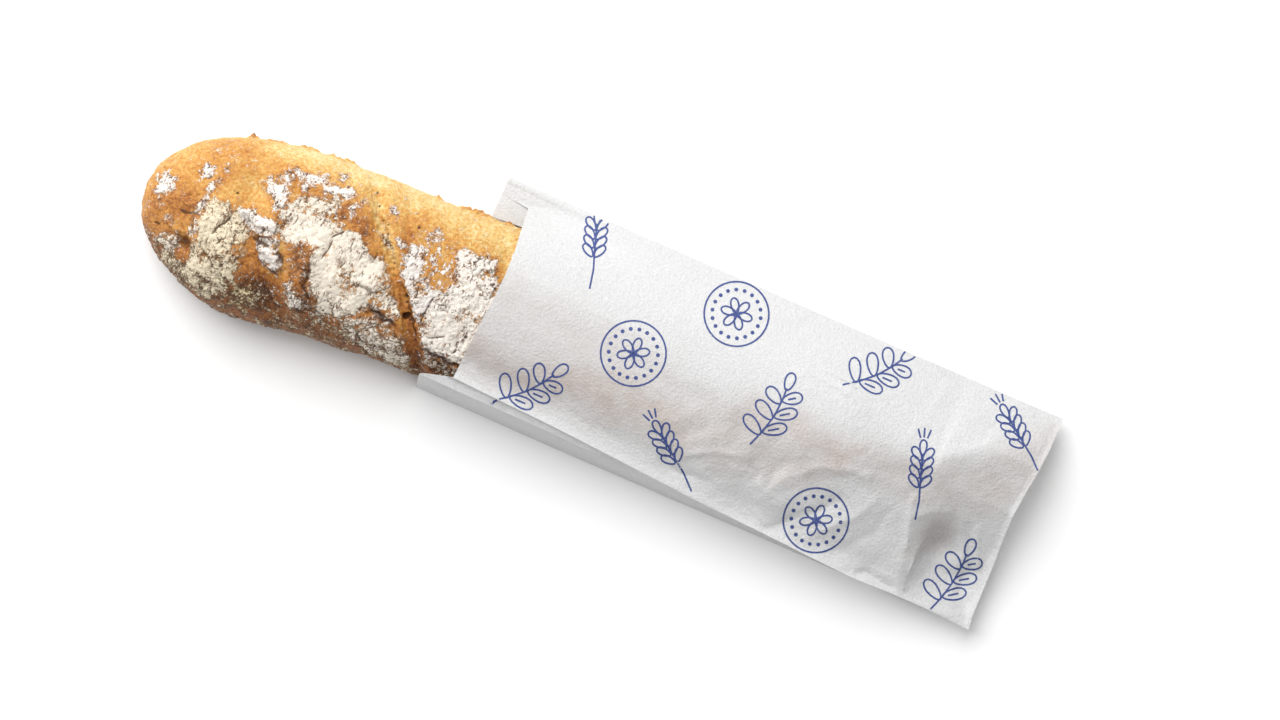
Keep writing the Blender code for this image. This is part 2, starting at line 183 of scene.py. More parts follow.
SIDE_FLAKES = (  # flakes of crust on the far side, at the outline: line, how far they stand out
    (((-181.5, 20.5), (-179, 21.5), (-176, 22.5)), 1.3),
    (((-172, 22.5), (-166, 24), (-162, 25)), 0.6),
    (((-160, 25), (-153, 27), (-147, 28.5)), 0.9),
    (((-145.5, 30), (-141, 31), (-134, 31.5), (-128, 31)), 1.5),
    (((-91, 32), (-87, 32.5)), 0.8),
    (((-79, 32.5), (-70, 33), (-62, 33.5)), 0.9),
    (((-58, 33.5), (-52, 34)), 0.5),
)
GROOVES = (  # cracks and scratches: line, half width, depth, and darkness of the painted shade inside
    (((-171, -13), (-172.5, -17), (-175, -21), (-177, -26)), 0.75, 1.3, 1.0),
    (((-177, -26), (-177.5, -31), (-175, -34)), 0.5, 0.7, 0.7),
    (((-159, -19.3), (-155, -19.8), (-149, -20)), 0.9, 1.4, 1.0),
    (((-157, -18), (-152, -16.5), (-149.5, -15.5)), 0.6, 1.0, 0.9),
    (((-152, -27), (-146, -29.5), (-141, -31)), 0.9, 1.0, 0.9),
    (((-146, -21), (-143, -22), (-141.5, -25)), 1.5, 0.9, 0.9),
    (((-130, -19), (-128.5, -24), (-128, -30)), 1.0, 0.9, 0.85),
    (((-133, -34), (-129, -39), (-125, -43)), 0.9, 0.9, 0.9),
    (((-131, -29), (-127, -31.5), (-123, -35.5)), 0.8, 0.8, 0.9),
    (((-137, -20), (-134, -23), (-133.5, -26.5)), 1.2, 0.7, 0.6),
    (((-124.3, -5), (-124.6, -9), (-125.8, -16)), 0.45, 0.8, 1.0),
    (((-121, 0.3), (-124, -2.5), (-126, -5.5)), 0.5, 0.7, 0.9),
    (((-140, -2), (-138, -3.5), (-137, -6)), 0.4, 0.4, 0.7),
    (((-115.5, 0), (-115.6, -4), (-115, -8)), 0.4, 0.6, 0.8),
    (((-114.8, -11), (-116, -14), (-117.2, -18)), 0.4, 0.5, 0.7),
    (((-122.6, -14), (-122.3, -18), (-123, -21)), 0.4, 0.5, 0.6),
    (((-107, -3), (-109.3, -5), (-110, -10)), 0.5, 0.6, 0.7),
    (((-104, -1.5), (-103.4, -5.5), (-105, -9)), 0.45, 0.5, 0.7),
    (((-113, -28), (-109, -27), (-106, -28.6)), 0.4, 0.4, 0.5),
    (((-118, -26), (-116, -31), (-113, -33)), 0.45, 0.4, 0.5),
    (((-178, -16), (-174.5, -15), (-170.5, -17), (-168, -22)), 0.45, 0.6, 0.8),
    (((-172, -25), (-168.5, -27), (-166, -32)), 0.5, 0.6, 0.8),
    (((-180, -33), (-174.5, -35.5), (-169, -40)), 0.5, 0.6, 0.7),
    (((-160, 6), (-158, 3.5), (-156.5, -0.5)), 0.5, 0.5, 0.7),
    (((-98, 20), (-96, 13), (-93.5, 7), (-92, 3)), 1.1, 0.5, 0.3),
    (((-72.3, -10), (-72.6, -17), (-73.4, -25)), 0.45, 0.8, 1.0),
    (((-79.8, -8), (-80, -12), (-79.6, -15)), 0.45, 0.6, 0.8),
    (((-76.5, 0), (-76, -6), (-74, -13)), 0.5, 0.4, 0.4),
    (((-70, -35.6), (-66, -34.2), (-62, -35.4), (-58, -34.6), (-54, -36.4), (-50, -34.8), (-46, -36.0)),
      1.1, 1.1, 0.9),
    (((-60, -37.8), (-54, -38.4), (-47, -37.6)), 1.0, 0.5, 0.6),
    (((-67, -29), (-63, -27), (-60, -25)), 0.6, 0.6, 0.8),
    (((-69, -8.5), (-66, -7), (-62, -6.0)), 0.4, 0.4, 0.5),
    (((-68, -16), (-65, -14), (-61, -16)), 0.5, 0.5, 0.7),
    (((-55.5, -1), (-55, -4)), 0.35, 0.4, 0.6),
    (((-63, 12), (-60, 9.5), (-60.5, 6)), 0.4, 0.4, 0.6),
    (((-52, -18), (-51, -24), (-51.5, -29)), 0.4, 0.4, 0.5),
    (((-57, 5), (-55, 9), (-51.5, 11)), 0.7, 0.5, 0.5),
    (((-108, -20.5), (-102, -19.5), (-97, -21)), 0.9, 0.8, 0.6),
    (((-98, -25.5), (-95, -28.4), (-92, -27.2), (-89, -30.2), (-86, -28.6), (-82, -30.4)), 0.8, 1.0, 0.9),
    (((-94, -24.5), (-92, -27.2), (-93, -31)), 0.5, 0.6, 0.8),
    (((-100, -38), (-97, -41), (-93, -43.5)), 0.7, 0.7, 0.8),
    (((-88, -36), (-85, -39), (-82, -43.5)), 0.5, 0.5, 0.6),
    (((-187, -18), (-187.5, -24), (-184.5, -30)), 0.8, 0.7, 0.45),
    (((-195.5, -21), (-192, -21.6), (-188, -20)), 0.8, 0.8, 0.9),
    (((-194, -14), (-192, -12.5)), 0.8, 0.5, 0.6),
    (((-204, -31), (-201.5, -31.8)), 0.8, 0.6, 0.9),
    (((-171, -38), (-169, -45), (-166, -52)), 0.6, 0.6, 0.6),
    (((-173, -31), (-170, -34.5), (-167, -33)), 0.6, 0.6, 0.8),
    (((-87.5, -11.5), (-82.5, -17.5), (-76, -25.5), (-70.5, -33.5)), 0.8, 1.1, 0.85),
    (((-153.5, 0), (-153.7, -4)), 0.4, 0.5, 0.9),
    (((-164.5, 5), (-163.5, 1.5), (-162.5, 0.5)), 0.6, 0.4, 0.3),
    (((-155, 14), (-154, 10), (-154, 6)), 0.5, 0.4, 0.4),
)
PITS = (  # burst bubbles and pores: x, y, radius, depth, and darkness of the painted shade inside
    (-187.3, -34.8, 2.9, 2.8, 0.62),
    (-173.4, -3.5, 0.7, 1.0, 1.0),
    (-175.2, -3.2, 0.35, 0.5, 0.9),
    (-84.0, -15.5, 1.0, 1.8, 1.0),
    (-80.0, -23.8, 1.4, 2.4, 1.0),
    (-82.6, -18.4, 0.6, 0.8, 0.8),
    (-77.7, -24.4, 0.9, 0.9, 1.0),
    (-115.3, 22.7, 0.7, 0.7, 0.8),
    (-113.5, 18.5, 0.5, 0.6, 0.8),
    (-112.0, 17.5, 0.7, 0.7, 0.9),
    (-110.5, 14.0, 0.4, 0.5, 0.6),
    (-106.5, 11.8, 0.5, 0.5, 0.6),
    (-104.6, 11.1, 0.6, 0.6, 0.8),
    (-102.9, 7.1, 0.9, 0.6, 0.6),
    (-102.4, 5.0, 0.6, 0.6, 0.6),
    (-99.5, 3.0, 0.5, 0.4, 0.4),
    (-96.3, -2.0, 1.0, 0.7, 0.6),
    (-94.8, -4.0, 0.7, 0.6, 0.6),
    (-91.0, 15.8, 0.75, 0.6, 0.85),
    (-94.8, 21.3, 0.4, 0.4, 0.7),
    (-89.7, 1.8, 0.5, 0.9, 1.0),
    (-160.8, 20.0, 0.35, 0.4, 0.9),
    (-51.2, -21.5, 0.9, 0.8, 0.9),
    (-55.7, 2.1, 0.45, 0.4, 0.7),
    (-102.3, -14.2, 0.6, 0.5, 0.8),
    (-145.5, -4.2, 0.9, 0.5, 0.6),
    (-111.7, -26.8, 0.7, 0.4, 0.5),
)
# Where flour lies, as outlines in plan: how thickly, and how cream it is.
FLOUR_PATCHES = (
    (((-211, -10), (-208, -8), (-206, -10), (-202.5, -9), (-203, -14), (-205, -18), (-209, -18),
      (-210, -14)), 0.95, 0.0),
    (((-192, 2), (-189.5, 3), (-187.5, 0), (-188, -2.5), (-191, -3), (-192.5, -1)), 0.95, 0.0),
    (((-191, 10), (-189, 10), (-189, 8), (-191, 8)), 0.55, 0.0),
    (((-183, 6), (-180, 6), (-180.5, 3), (-183, 3)), 0.4, 0.0),
    (((-184.5, -1), (-182.5, -1.5), (-184, -5), (-184.5, -10), (-186.5, -10), (-186, -5)), 0.85, 0.1),
    (((-186.5, -12), (-184.5, -13), (-186, -18), (-188, -20), (-188.3, -17)), 0.8, 0.1),
    (((-188, -22), (-186.5, -22), (-184.5, -28), (-186, -30)), 0.7, 0.2),
    (((-199, -26), (-196.5, -26.5), (-196, -29), (-198.5, -29)), 0.8, 0.2),
    (((-205, -21), (-203, -21.5), (-203.5, -23), (-205, -23)), 0.5, 0.0),
    (((-184, -13), (-181, -10), (-176, -9), (-171.5, -12), (-169, -10), (-166, -14), (-162, -17),
      (-160.5, -24),
      (-161, -32), (-160, -42), (-162, -51), (-170, -53), (-178, -51), (-182, -46), (-181.5, -40),
      (-183, -35),
      (-181, -30), (-184, -25), (-183.5, -18)), 0.82, 0.6),
    (((-197, -33), (-192.5, -31), (-190, -34), (-190, -39), (-196, -41), (-201, -38), (-199, -36)),
      0.75, 0.3),
    (((-205, -37), (-198, -39), (-192, -41), (-186, -42), (-181, -44), (-176, -52), (-186, -54),
      (-196, -48)), 0.47, 0.1),
    (((-169, -11), (-163, -8.5), (-158, -10), (-153, -8.5), (-150, -11), (-150, -15), (-155, -17),
      (-160, -16), (-165, -15)), 0.92, 0.05),
    (((-159, -17), (-154, -16.5), (-149, -15.5), (-147.5, -17), (-149, -19), (-156, -19.5)), 0.85, 0.1),
    (((-156, -21), (-149, -19.5), (-145, -22), (-143, -26), (-142, -30), (-147, -28), (-152, -26)),
      0.82, 0.0),
    (((-164, 8), (-160, 10), (-157, 14), (-155, 14), (-154, 9), (-153, 3), (-151.5, -3), (-153.5, -4.5),
      (-157, 0),
      (-160, 4), (-163, 5)), 0.8, 0.0),
    (((-154, 18), (-148, 17), (-143, 20), (-139, 21), (-138, 17), (-143, 14.5), (-152, 15)), 0.9, 0.0),
    (((-138, 17), (-131, 16.5), (-126, 19), (-124, 18), (-129, 14), (-135, 14)), 0.88, 0.0),
    (((-148, 11.5), (-145, 13), (-143, 9.5), (-147, 8.5)), 0.75, 0.0),
    (((-151, 1), (-147, 6), (-141, 9), (-135, 10), (-131, 13), (-128, 10), (-129, 4), (-134, 2),
      (-142, -1), (-150, -2)),
     0.7, 0.3),
    (((-124, 12), (-122, 15), (-120, 17), (-119, 14), (-121, 9)), 0.6, 0.0),
    (((-150, -1), (-144, 0), (-138, 2), (-130, 2), (-125, 2), (-120, 1), (-113, 0), (-108, -2), (-106, -6),
      (-100, -3.5), (-96, -6), (-92, -12), (-88, -19), (-84, -25), (-92, -24), (-98, -22), (-101, -31),
      (-106, -35), (-112, -38), (-118, -38), (-121, -34), (-126, -28), (-129, -20), (-131, -12),
      (-136, -11),
      (-141, -14), (-147, -14), (-150, -8)), 0.97, 0.28),
    (((-101, -32), (-92, -32), (-85, -31), (-79, -34), (-73, -40), (-68, -46), (-80, -47), (-90, -46),
      (-99, -44), (-106, -38)), 0.62, 0.25),
    (((-99, -24), (-84, -24.5), (-83, -32), (-97, -32)), 0.42, 0.1),
    (((-122, -36), (-112, -40), (-104, -38), (-100, -44), (-110, -45), (-120, -43)), 0.42, 0.2),
    (((-137, -31), (-133, -30.5), (-129, -35), (-126, -40), (-129, -42), (-134, -37)), 0.85, 0.1),
    (((-128, -31), (-122, -33), (-119, -38), (-123, -41), (-127, -36)), 0.45, 0.1),
    (((-134, 24.5), (-131, 25), (-131, 22), (-134, 22)), 0.85, 0.0),
    (((-106.5, 19.5), (-104, 19), (-104, 16.5), (-106, 17)), 0.85, 0.0),
    (((-111, 15), (-108, 14), (-100, 4), (-94, -2), (-96, -4), (-104, 4)), 0.5, 0.55),
    (((-97.5, 7), (-95, 6.5), (-93, 4), (-95, 3.5)), 0.9, 0.0),
    (((-92, 2), (-91, 7), (-87, 8), (-83, 6.5), (-83, 1), (-82.5, -4), (-80, -9), (-77.5, -14), (-74, -19),
      (-73, -26), (-77, -22), (-84, -13), (-90, -6)), 0.92, 0.0),
    (((-85, 13), (-82, 18), (-79.5, 17), (-79.5, 11), (-83, 10)), 0.85, 0.0),
    (((-78, 8), (-74, 7), (-75, -2), (-73, -8), (-75, -10), (-79, -3)), 0.5, 0.0),
    (((-74, 4), (-69.5, 4), (-69, -3), (-73, -6)), 0.8, 0.0),
    (((-84, -5), (-79, -5), (-75, -7), (-70.5, -4), (-70, -12), (-73, -22), (-76, -20), (-80, -14)),
      0.78, 0.0),
    (((-79.5, 1), (-77, 1), (-76, -6), (-79, -6)), 0.7, 0.0),
    (((-100, -3), (-95, -6), (-90, -14), (-85, -22), (-90, -23.5), (-98, -21), (-106, -15), (-106, -8)),
      0.86, 0.25),
    (((-80, 6.5), (-77.5, 7), (-77.5, 3), (-79.5, 3)), 0.7, 0.0),
    (((-76, 12), (-73, 13), (-71, 8), (-74, 5)), 0.6, 0.0),
    (((-142, -13), (-134, -11), (-128, -16), (-127, -27), (-132, -30), (-138, -26)), 0.24, 0.2),
    (((-71, 13), (-66, 16), (-60, 14), (-56, 16), (-52, 15), (-53, 11), (-57, 10), (-57.5, 5), (-53, 8),
      (-50, 9),
      (-46, 6), (-44, -34), (-56, -35), (-67, -35), (-70, -31), (-72.5, -24), (-72, -15), (-70, -8),
      (-66, -3),
      (-65, 2), (-69, 6)), 0.92, 0.1),
    (((-68, -37.5), (-56, -37.5), (-44, -38), (-44, -41), (-58, -40), (-66, -42)), 0.6, 0.0),
    (((-156, -42), (-152, -41), (-149, -45), (-150, -50), (-158, -50)), 0.45, 0.9),
    (((-138, -43), (-120, -42), (-108, -42), (-100, -44), (-100, -48), (-118, -50), (-134, -52)), 0.2, 0.2),
)
# Where it was dragged into streaks across the loaf.
DRAGGED = [(-84, 14), (-79, 18), (-72, 13), (-66, 6), (-67, -4), (-74, -8), (-77, -3), (-84, 0)]
# Where the flour lies soft and smooth, without crumbs or splits: x, y, radii, slant.
SOFT_FLOUR = (
    (-142, -10, 5, 4, 0),
    (-133, -9, 6, 7, 0),
    (-121, -18, 7, 9, 30),
    (-110, -26, 8, 4, -25),
    (-101, -11, 5, 6, 0),
    (-62, -24, 5, 4, 0),
)
# Where the crust is browner (+) or paler (-) than around: x, y, radii, slant, amount.
TOASTED = (
    (-206, -24, 9, 12, 60, 0.16),
    (-192, -20, 8, 7, 0, 0.20),
    (-196, -12, 9, 5, 30, 0.10),
    (-183, 3, 12, 5, 0, 0.06),
    (-186, -37, 5, 4, 0, 0.05),
    (-186, -40, 3, 2, 0, -0.14),
    (-162, -2, 10, 7, -40, -0.04),
    (-150, -42, 8, 7, 0, 0.18),
    (-154, -29, 5, 9, 30, 0.08),
    (-142, -38, 5, 7, 30, 0.10),
    (-137, -16, 4, 4, 0, 0.26),
    (-135, -24, 4, 6, 40, 0.20),
    (-129, -26, 2.5, 8, 10, 0.30),
    (-124, -37, 6, 5, 0, 0.22),
    (-150, -7, 3, 5, 20, 0.14),
    (-145, -5, 5, 3, 0, 0.10),
    (-128, 7, 7, 4, 0, 0.16),
    (-133, 4, 2, 2, 0, 0.30),
    (-125, 7, 1.5, 4, 0, 0.22),
    (-116, 5, 7, 6, -30, 0.20),
    (-113, 3, 2, 4, 0, 0.20),
    (-104, -3, 6, 4, -50, 0.12),
    (-103, -20, 7, 1.6, -4, 0.26),
    (-90, -28.5, 9, 3.0, -10, 0.36),
    (-95, 12, 3, 9, 20, 0.14),
    (-93, 8, 1.8, 5, 10, 0.20),
    (-90, 20, 4, 6, 0, 0.12),
    (-80, 2, 2.0, 6, 10, 0.08),
    (-76, -3, 2, 8, 6, 0.06),
    (-67, 5, 3, 8, 20, 0.14),
    (-75, 12, 8, 5, 0, 0.03),
    (-56, -40, 8, 2.0, 0, 0.22),
    (-60, -35.6, 14, 1.4, 0, 0.25),
    (-53, 11, 3, 2, 0, 0.22),
    (-153, 12, 2.5, 5, 10, 0.14),
    (-141, 12, 9, 3, 0, 0.08),
    (-178, 14, 3, 2, 0, 0.10),
    # painted light: paler along the lit far side
    (-130, 28, 60, 6, 0, -0.06),
)


def line_distance(x, y, line):
    """For each (x, y): the distance to a line of points (less than 0 on its right-hand side),
    and how far along it, from 0 to 1."""
    best = np.full(x.shape, 1e9)
    share = np.zeros(x.shape)
    side = np.ones(x.shape)
    lengths = [math.dist(a, b) for a, b in zip(line, line[1:])]
    run = 0.0
    for (ax, ay), (bx, by), length in zip(line, line[1:], lengths):
        t = np.clip(((x - ax) * (bx - ax) + (y - ay) * (by - ay)) / length**2, 0, 1)
        d = np.hypot(x - ax - t * (bx - ax), y - ay - t * (by - ay))
        closer = d < best
        best = np.where(closer, d, best)
        share = np.where(closer, (run + t * length) / sum(lengths), share)
        side = np.where(closer, np.sign((bx - ax) * (y - ay) - (by - ay) * (x - ax)), side)
        run += length
    return best * np.where(side < 0, -1, 1), share


def inside_distance(x, y, outline):
    """The distance to an outline of points, positive inside it."""
    best = np.full(x.shape, 1e9)
    inside = np.zeros(x.shape, bool)
    for (ax, ay), (bx, by) in zip(outline, outline[1:] + outline[:1]):
        t = np.clip(((x - ax) * (bx - ax) + (y - ay) * (by - ay)) / ((bx - ax) ** 2 + (by - ay) ** 2), 0, 1)
        best = np.minimum(best, np.hypot(x - ax - t * (bx - ax), y - ay - t * (by - ay)))
        if ay != by:
            crosses = ((ay > y) != (by > y)) & (x < ax + (y - ay) * (bx - ax) / (by - ay))
            inside ^= crosses
    return np.where(inside, best, -best)


def grain(points, size, octaves=3, offset=0.0):
    """Fractal noise at each point (rows of x, y, z in mm), about -1 to 1."""
    shift = Vector((offset, offset * 1.7, offset * 0.6))
    return np.array([noise.fractal(Vector(p) / size + shift, 1.0, 2.0, octaves) for p in points])


def cells(points, size, offset=0.0):
    """Distance from each point to the nearest of scattered seeds, and how much further the next is."""
    shift = Vector((offset, offset * 1.3, offset * 0.8))
    near = np.empty(len(points))
    gap = np.empty(len(points))
    for i, p in enumerate(points):
        d = noise.voronoi(Vector(p) / size + shift)[0]
        near[i] = d[0]
        gap[i] = d[1] - d[0]
    return near, gap


def ellipse(x, y, place):
    """0 in the middle of an ellipse (x, y, radii, slant), 1 on its rim."""
    middle_x, middle_y, long_radius, short_radius, slant = place
    a = math.radians(slant)
    u = (x - middle_x) * math.cos(a) + (y - middle_y) * math.sin(a)
    v = (y - middle_y) * math.cos(a) - (x - middle_x) * math.sin(a)
    return (u / long_radius) ** 2 + (v / short_radius) ** 2


def smooth(low, high, value):
    t = np.clip((value - low) / (high - low), 0, 1)
    return t * t * (3 - 2 * t)


def fade_ends(share):
    """1 along a stroke, falling to 0 at its two ends."""
    return np.sqrt(np.clip(1 - (2 * share - 1) ** 4, 0, 1))


def read_vectors(mesh, name):
    """The mesh's points ("co") or normals ("normal"), one row for each."""
    flat = np.empty(len(mesh.vertices) * 3)
    mesh.vertices.foreach_get(name, flat)
    return flat.reshape(-1, 3)


def write_points(mesh, points):
    mesh.vertices.foreach_set("co", np.ascontiguousarray(points).ravel())
    mesh.update()


def write_attribute(mesh, name, values):
    layer = mesh.attributes.new(name, "FLOAT", "POINT")
    layer.data.foreach_set("value", np.ascontiguousarray(values, dtype=np.float32))


def only_select(obj):
    bpy.ops.object.select_all(action="DESELECT")
    obj.select_set(True)
    bpy.context.view_layer.objects.active = obj


def make_loaf():
    """A copy of the CAD loaf, remeshed evenly, and finer where it shows from above."""
    loaf = bpy.data.objects.new("floured_loaf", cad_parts["loaf"].data.copy())
    bpy.context.collection.objects.link(loaf)
    only_select(loaf)
    bpy.ops.object.mode_set(mode="EDIT")
    bpy.ops.mesh.select_all(action="SELECT")
    bpy.ops.mesh.remove_doubles(threshold=1e-6)
    bpy.ops.object.mode_set(mode="OBJECT")
    remesh = loaf.modifiers.new("even_grain", "REMESH")
    remesh.mode = "VOXEL"
    remesh.voxel_size = LOAF_GRAIN
    bpy.ops.object.modifier_apply(modifier=remesh.name)
    soften = loaf.modifiers.new("soften_steps", "SMOOTH")
    soften.factor = 0.5
    soften.iterations = 3
    bpy.ops.object.modifier_apply(modifier=soften.name)

    bpy.ops.object.mode_set(mode="EDIT")
    bpy.ops.mesh.select_all(action="DESELECT")
    bpy.ops.object.mode_set(mode="OBJECT")
    for face in loaf.data.polygons:
        face.select = face.center.x < SHOWS_TO and face.center.z > SHOWS_OVER
    bpy.ops.object.mode_set(mode="EDIT")
    bpy.ops.mesh.subdivide(number_cuts=FINER_STEPS - 1, smoothness=1.0)
    bpy.ops.object.mode_set(mode="OBJECT")
    return loaf


def read_crust(mesh):
    """The crust's points in millimetres, and the uneven grain that all work on it follows."""
    points = read_vectors(mesh, "co") * 1000
    x, y, z = points.T
    broad = grain(points, 15.0, 3, 1.0)
    middle = grain(points, 5.0, 3, 5.0)
    small = grain(points, 1.9, 2, 9.0)
    calm = 0.3 + 0.7 * (1 - smooth(*UNDER_PAPER, x))
    return SimpleNamespace(
        points=points,
        normals=read_vectors(mesh, "normal"),
        x=x,
        y=y,
        z=z,
        broad=broad,
        middle=middle,
        small=small,
        ragged_x=x + 1.8 * middle + 1.2 * small,
        ragged_y=y + 1.8 * grain(points, 5.0, 3, 7.7) - 1.2 * grain(points, 1.9, 2, 11.0),
        upper=smooth(*FOOT, z),
        calm=calm,
        relief=(0.55 * broad + 0.30 * middle) * calm,
        browning_and_shade=0.30 + 0.07 * broad,
        dark=np.zeros(x.shape),
    )


def sift_flour(crust):
    """Flour was sifted over the loaf before it was scored, and cracked and crumbled in the oven."""
    x, y, points = crust.x, crust.y, crust.points
    flour = np.zeros(x.shape)
    cream = np.zeros(x.shape)
    for outline, thickness, yellow in FLOUR_PATCHES:
        amount = thickness * smooth(-2.8, 1.6, inside_distance(crust.ragged_x, crust.ragged_y, outline))
        cream = np.where(amount > flour, yellow, cream)
        flour = np.maximum(flour, amount)
    # It never lies evenly: there are thin places in a plate and a dusting beside it.
    uneven = grain(points, 9.0, 4, 23.0)
    thinned = flour * (1.02 - 0.42 * smooth(0.05, 0.6, uneven))
    flour = np.clip(thinned + 0.12 * smooth(0.0, 0.4, -uneven), 0, 1)
    flour = np.maximum(flour, 0.36 * smooth(-28.0, -44.0, y) * smooth(-0.2, 0.25, crust.middle))
    # Right of the slash it was dragged into streaks across the loaf.
    dragged = grain(points * np.array([1.0, 0.4, 1.0]), 1.6, 3, 61.0)
    among = smooth(-2.0, 3.0, inside_distance(crust.ragged_x, crust.ragged_y, DRAGGED))
    streaked = np.maximum(flour * (1 - 0.8 * among), 0.8 * smooth(-0.05, 0.3, dragged) * among)
    flour = np.where(among > 0, streaked, flour)
    # The score opened after the flouring, so that little lies in its lower half.
    flour *= 1 - 0.85 * crust.in_slash * smooth(4.0, -6.0, y)
    hidden = smooth(-46, -40, x)
    plates = smooth(-0.1, 0.3, crust.broad + 0.2 - 0.006 * np.abs(y + 4))
    crust.flour = flour * (1 - hidden) + hidden * 0.9 * plates
    crust.cream = np.maximum(cream, 0.6 * smooth(-36.0, -44.0, y) * (crust.flour < 0.6))
    crust.soft = np.zeros(x.shape)
    for place in SOFT_FLOUR:
        away = ellipse(crust.ragged_x, crust.ragged_y, place)
        crust.soft = np.maximum(crust.soft, np.exp(-(away**1.5)))
    crust.soft *= crust.flour


def crumble_flour(crust):
    """Crumbs, hairlines and short cracks in the flour, and blisters in the bare crust beside it. The gaps
    between crumbs and the cracks are darkened with painted shade.
    """
    points, flour, middle, small = crust.points, crust.flour, crust.middle, crust.small
    sparse = 1 - smooth(0.55, 0.97, flour)
    _, gap = cells(points, 2.3, 4.0)
    _, split = cells(points + np.stack([middle, middle, middle], axis=1) * 1.5, 8.0, 2.0)
    hairline = (1 - smooth(0.01, 0.07, split)) * smooth(-0.05, 0.3, crust.broad) * smooth(0.4, 0.8, flour)
    # Short cracks run across the loaf through the flour, where it dried and shrank.
    vein = np.abs(grain(points * np.array([1.0, 0.45, 1.0]), 3.0, 2, 51.0))
    crackle = (1 - smooth(0.03, 0.10, vein)) * smooth(-0.08, 0.2, grain(points, 7.0, 2, 53.0))
    crackle *= smooth(0.4, 0.8, flour)

    crumbs = (0.40 + 0.85 * sparse) * (smooth(0.02, 0.35, gap) - 0.55) + 0.34 * small
    lumps = 0.35 * grain(points, 3.3, 2, 37.0)
    plate = flour * (0.30 + crumbs * (1 - 0.75 * crust.soft) + lumps)
    blister = np.clip(0.45 - cells(points, 2.9, 8.0)[0], 0, 1)
    bare = (1 - smooth(0.2, 0.6, flour)) * (0.55 * blister + 0.09 * small)
    crust.relief += crust.upper * (plate - 0.45 * hairline - 0.35 * crackle + bare) * crust.calm
    # Painted shade in the gaps between the crumbs, in the hairlines and in the cracks.
    shade_between_crumbs = 0.75 * sparse * smooth(0.2, 0.5, flour) * (1 - smooth(0.03, 0.16, gap))
    crust.dark = np.maximum(0.5 * hairline, shade_between_crumbs)
    crust.dark = np.maximum(crust.dark, 0.9 * crackle) * (1 - 0.7 * crust.soft)


def tear_scores(crust):
    """The clean slash and the torn valley, with the flaps and lips that they raised, and the flakes
    along the far side."""
    x, y, middle, small = crust.x, crust.y, crust.middle, crust.small
    crust.relief += crust.upper * crust.in_slash * (0.25 * middle + 0.2 * small - 0.9)
    valley, share = line_distance(x, y, TORN_VALLEY)
    crust.in_valley = np.exp(-((valley / 6.0) ** 4)) * smooth(0.1, 0.35, share)
    drawn_out = np.array([[0.8, -0.5, 0], [0.6, 0.25, 0], [0, 0, 0.3]])
    crust.streak = grain(crust.points @ drawn_out, 2.4, 3, 13.0)
    crust.relief += crust.upper * crust.in_valley * 0.75 * crust.streak
    for line, half, height in FLAPS:
        d, share = line_distance(x + 0.7 * middle + 0.5 * small, y - 0.7 * middle + 0.5 * small, line)
        reach = np.where(d > 0, half * 1.25, half * 0.4)
        crust.relief += crust.upper * 1.35 * height * fade_ends(share) * np.exp(-((d / reach) ** 2))
    for line, half, height in LIPS:
        d, share = line_distance(crust.ragged_x, crust.ragged_y, line)
        crust.relief += crust.upper * height * fade_ends(share) * np.exp(-((d / half) ** 2))
    for line, height in SIDE_FLAKES:
        d, share = line_distance(crust.ragged_x, y, line)
        flake = np.clip(1 - (2 * share - 1) ** 2, 0, 1) * np.exp(-((d / 2.0) ** 2))
        flake *= (0.9 + 1.1 * small) * np.exp(-(((crust.z - 14.5 - 3.0 * middle) / 3.5) ** 2))
        crust.relief += 1.8 * height * flake
        crust.browning_and_shade += 0.3 * np.clip(flake, 0, 1)


def crack_crust(crust):
    """Cracks, scratches, burst bubbles and pores, darkened inside with painted shade."""
    x, y, middle, small = crust.x, crust.y, crust.middle, crust.small
    # Each groove and pit is darkened inside with painted shade.
    for line, half, depth, darkness in GROOVES:
        d, share = line_distance(x + 0.5 * small + 0.3 * middle, y + 0.4 * small, line)
        groove = np.exp(-((d / half) ** 2)) * fade_ends(share)
        crust.relief -= crust.upper * depth * groove
        crust.dark = np.maximum(crust.dark, darkness * groove)
    for pit_x, pit_y, radius, depth, darkness in PITS:
        d = np.hypot(x - pit_x + 0.25 * small, y - pit_y + 0.25 * middle)
        crust.relief -= crust.upper * depth * np.exp(-((d / radius) ** 4))
        crust.dark = np.maximum(crust.dark, darkness * np.exp(-((d / (radius * 1.1)) ** 4)))


def brown_crust(crust):
    """The crown is golden, the far side paler and the near side and the foot browner: real browning, with
    painted light on the lit far side and painted shade on the near side and at the foot. The slash is pale
    at its far end and brown at its near one."""
    y, in_slash = crust.y, crust.in_slash
    # Painted light: paler towards the lit far side. Painted shade: browner towards the near side and at the
    # foot, over their real browning.
    browning_and_shade = crust.browning_and_shade - 0.12 * smooth(12.0, 30.0, y)
    browning_and_shade += 0.34 * smooth(-24.0, -48.0, y) + 0.15 * smooth(12.0, 4.0, crust.z) * smooth(0.0, -30.0, y)
    for *place, amount in TOASTED:
        browning_and_shade += amount * np.exp(-ellipse(crust.ragged_x, crust.ragged_y, place))
    opened = 0.08 + 0.40 * smooth(2, -13, y) + 0.24 * smooth(-26, -40, y) + 0.12 * crust.middle
    browning_and_shade = browning_and_shade * (1 - in_slash) + in_slash * opened
    crust.browning_and_shade = browning_and_shade + (0.10 * crust.streak + 0.06) * crust.in_valley


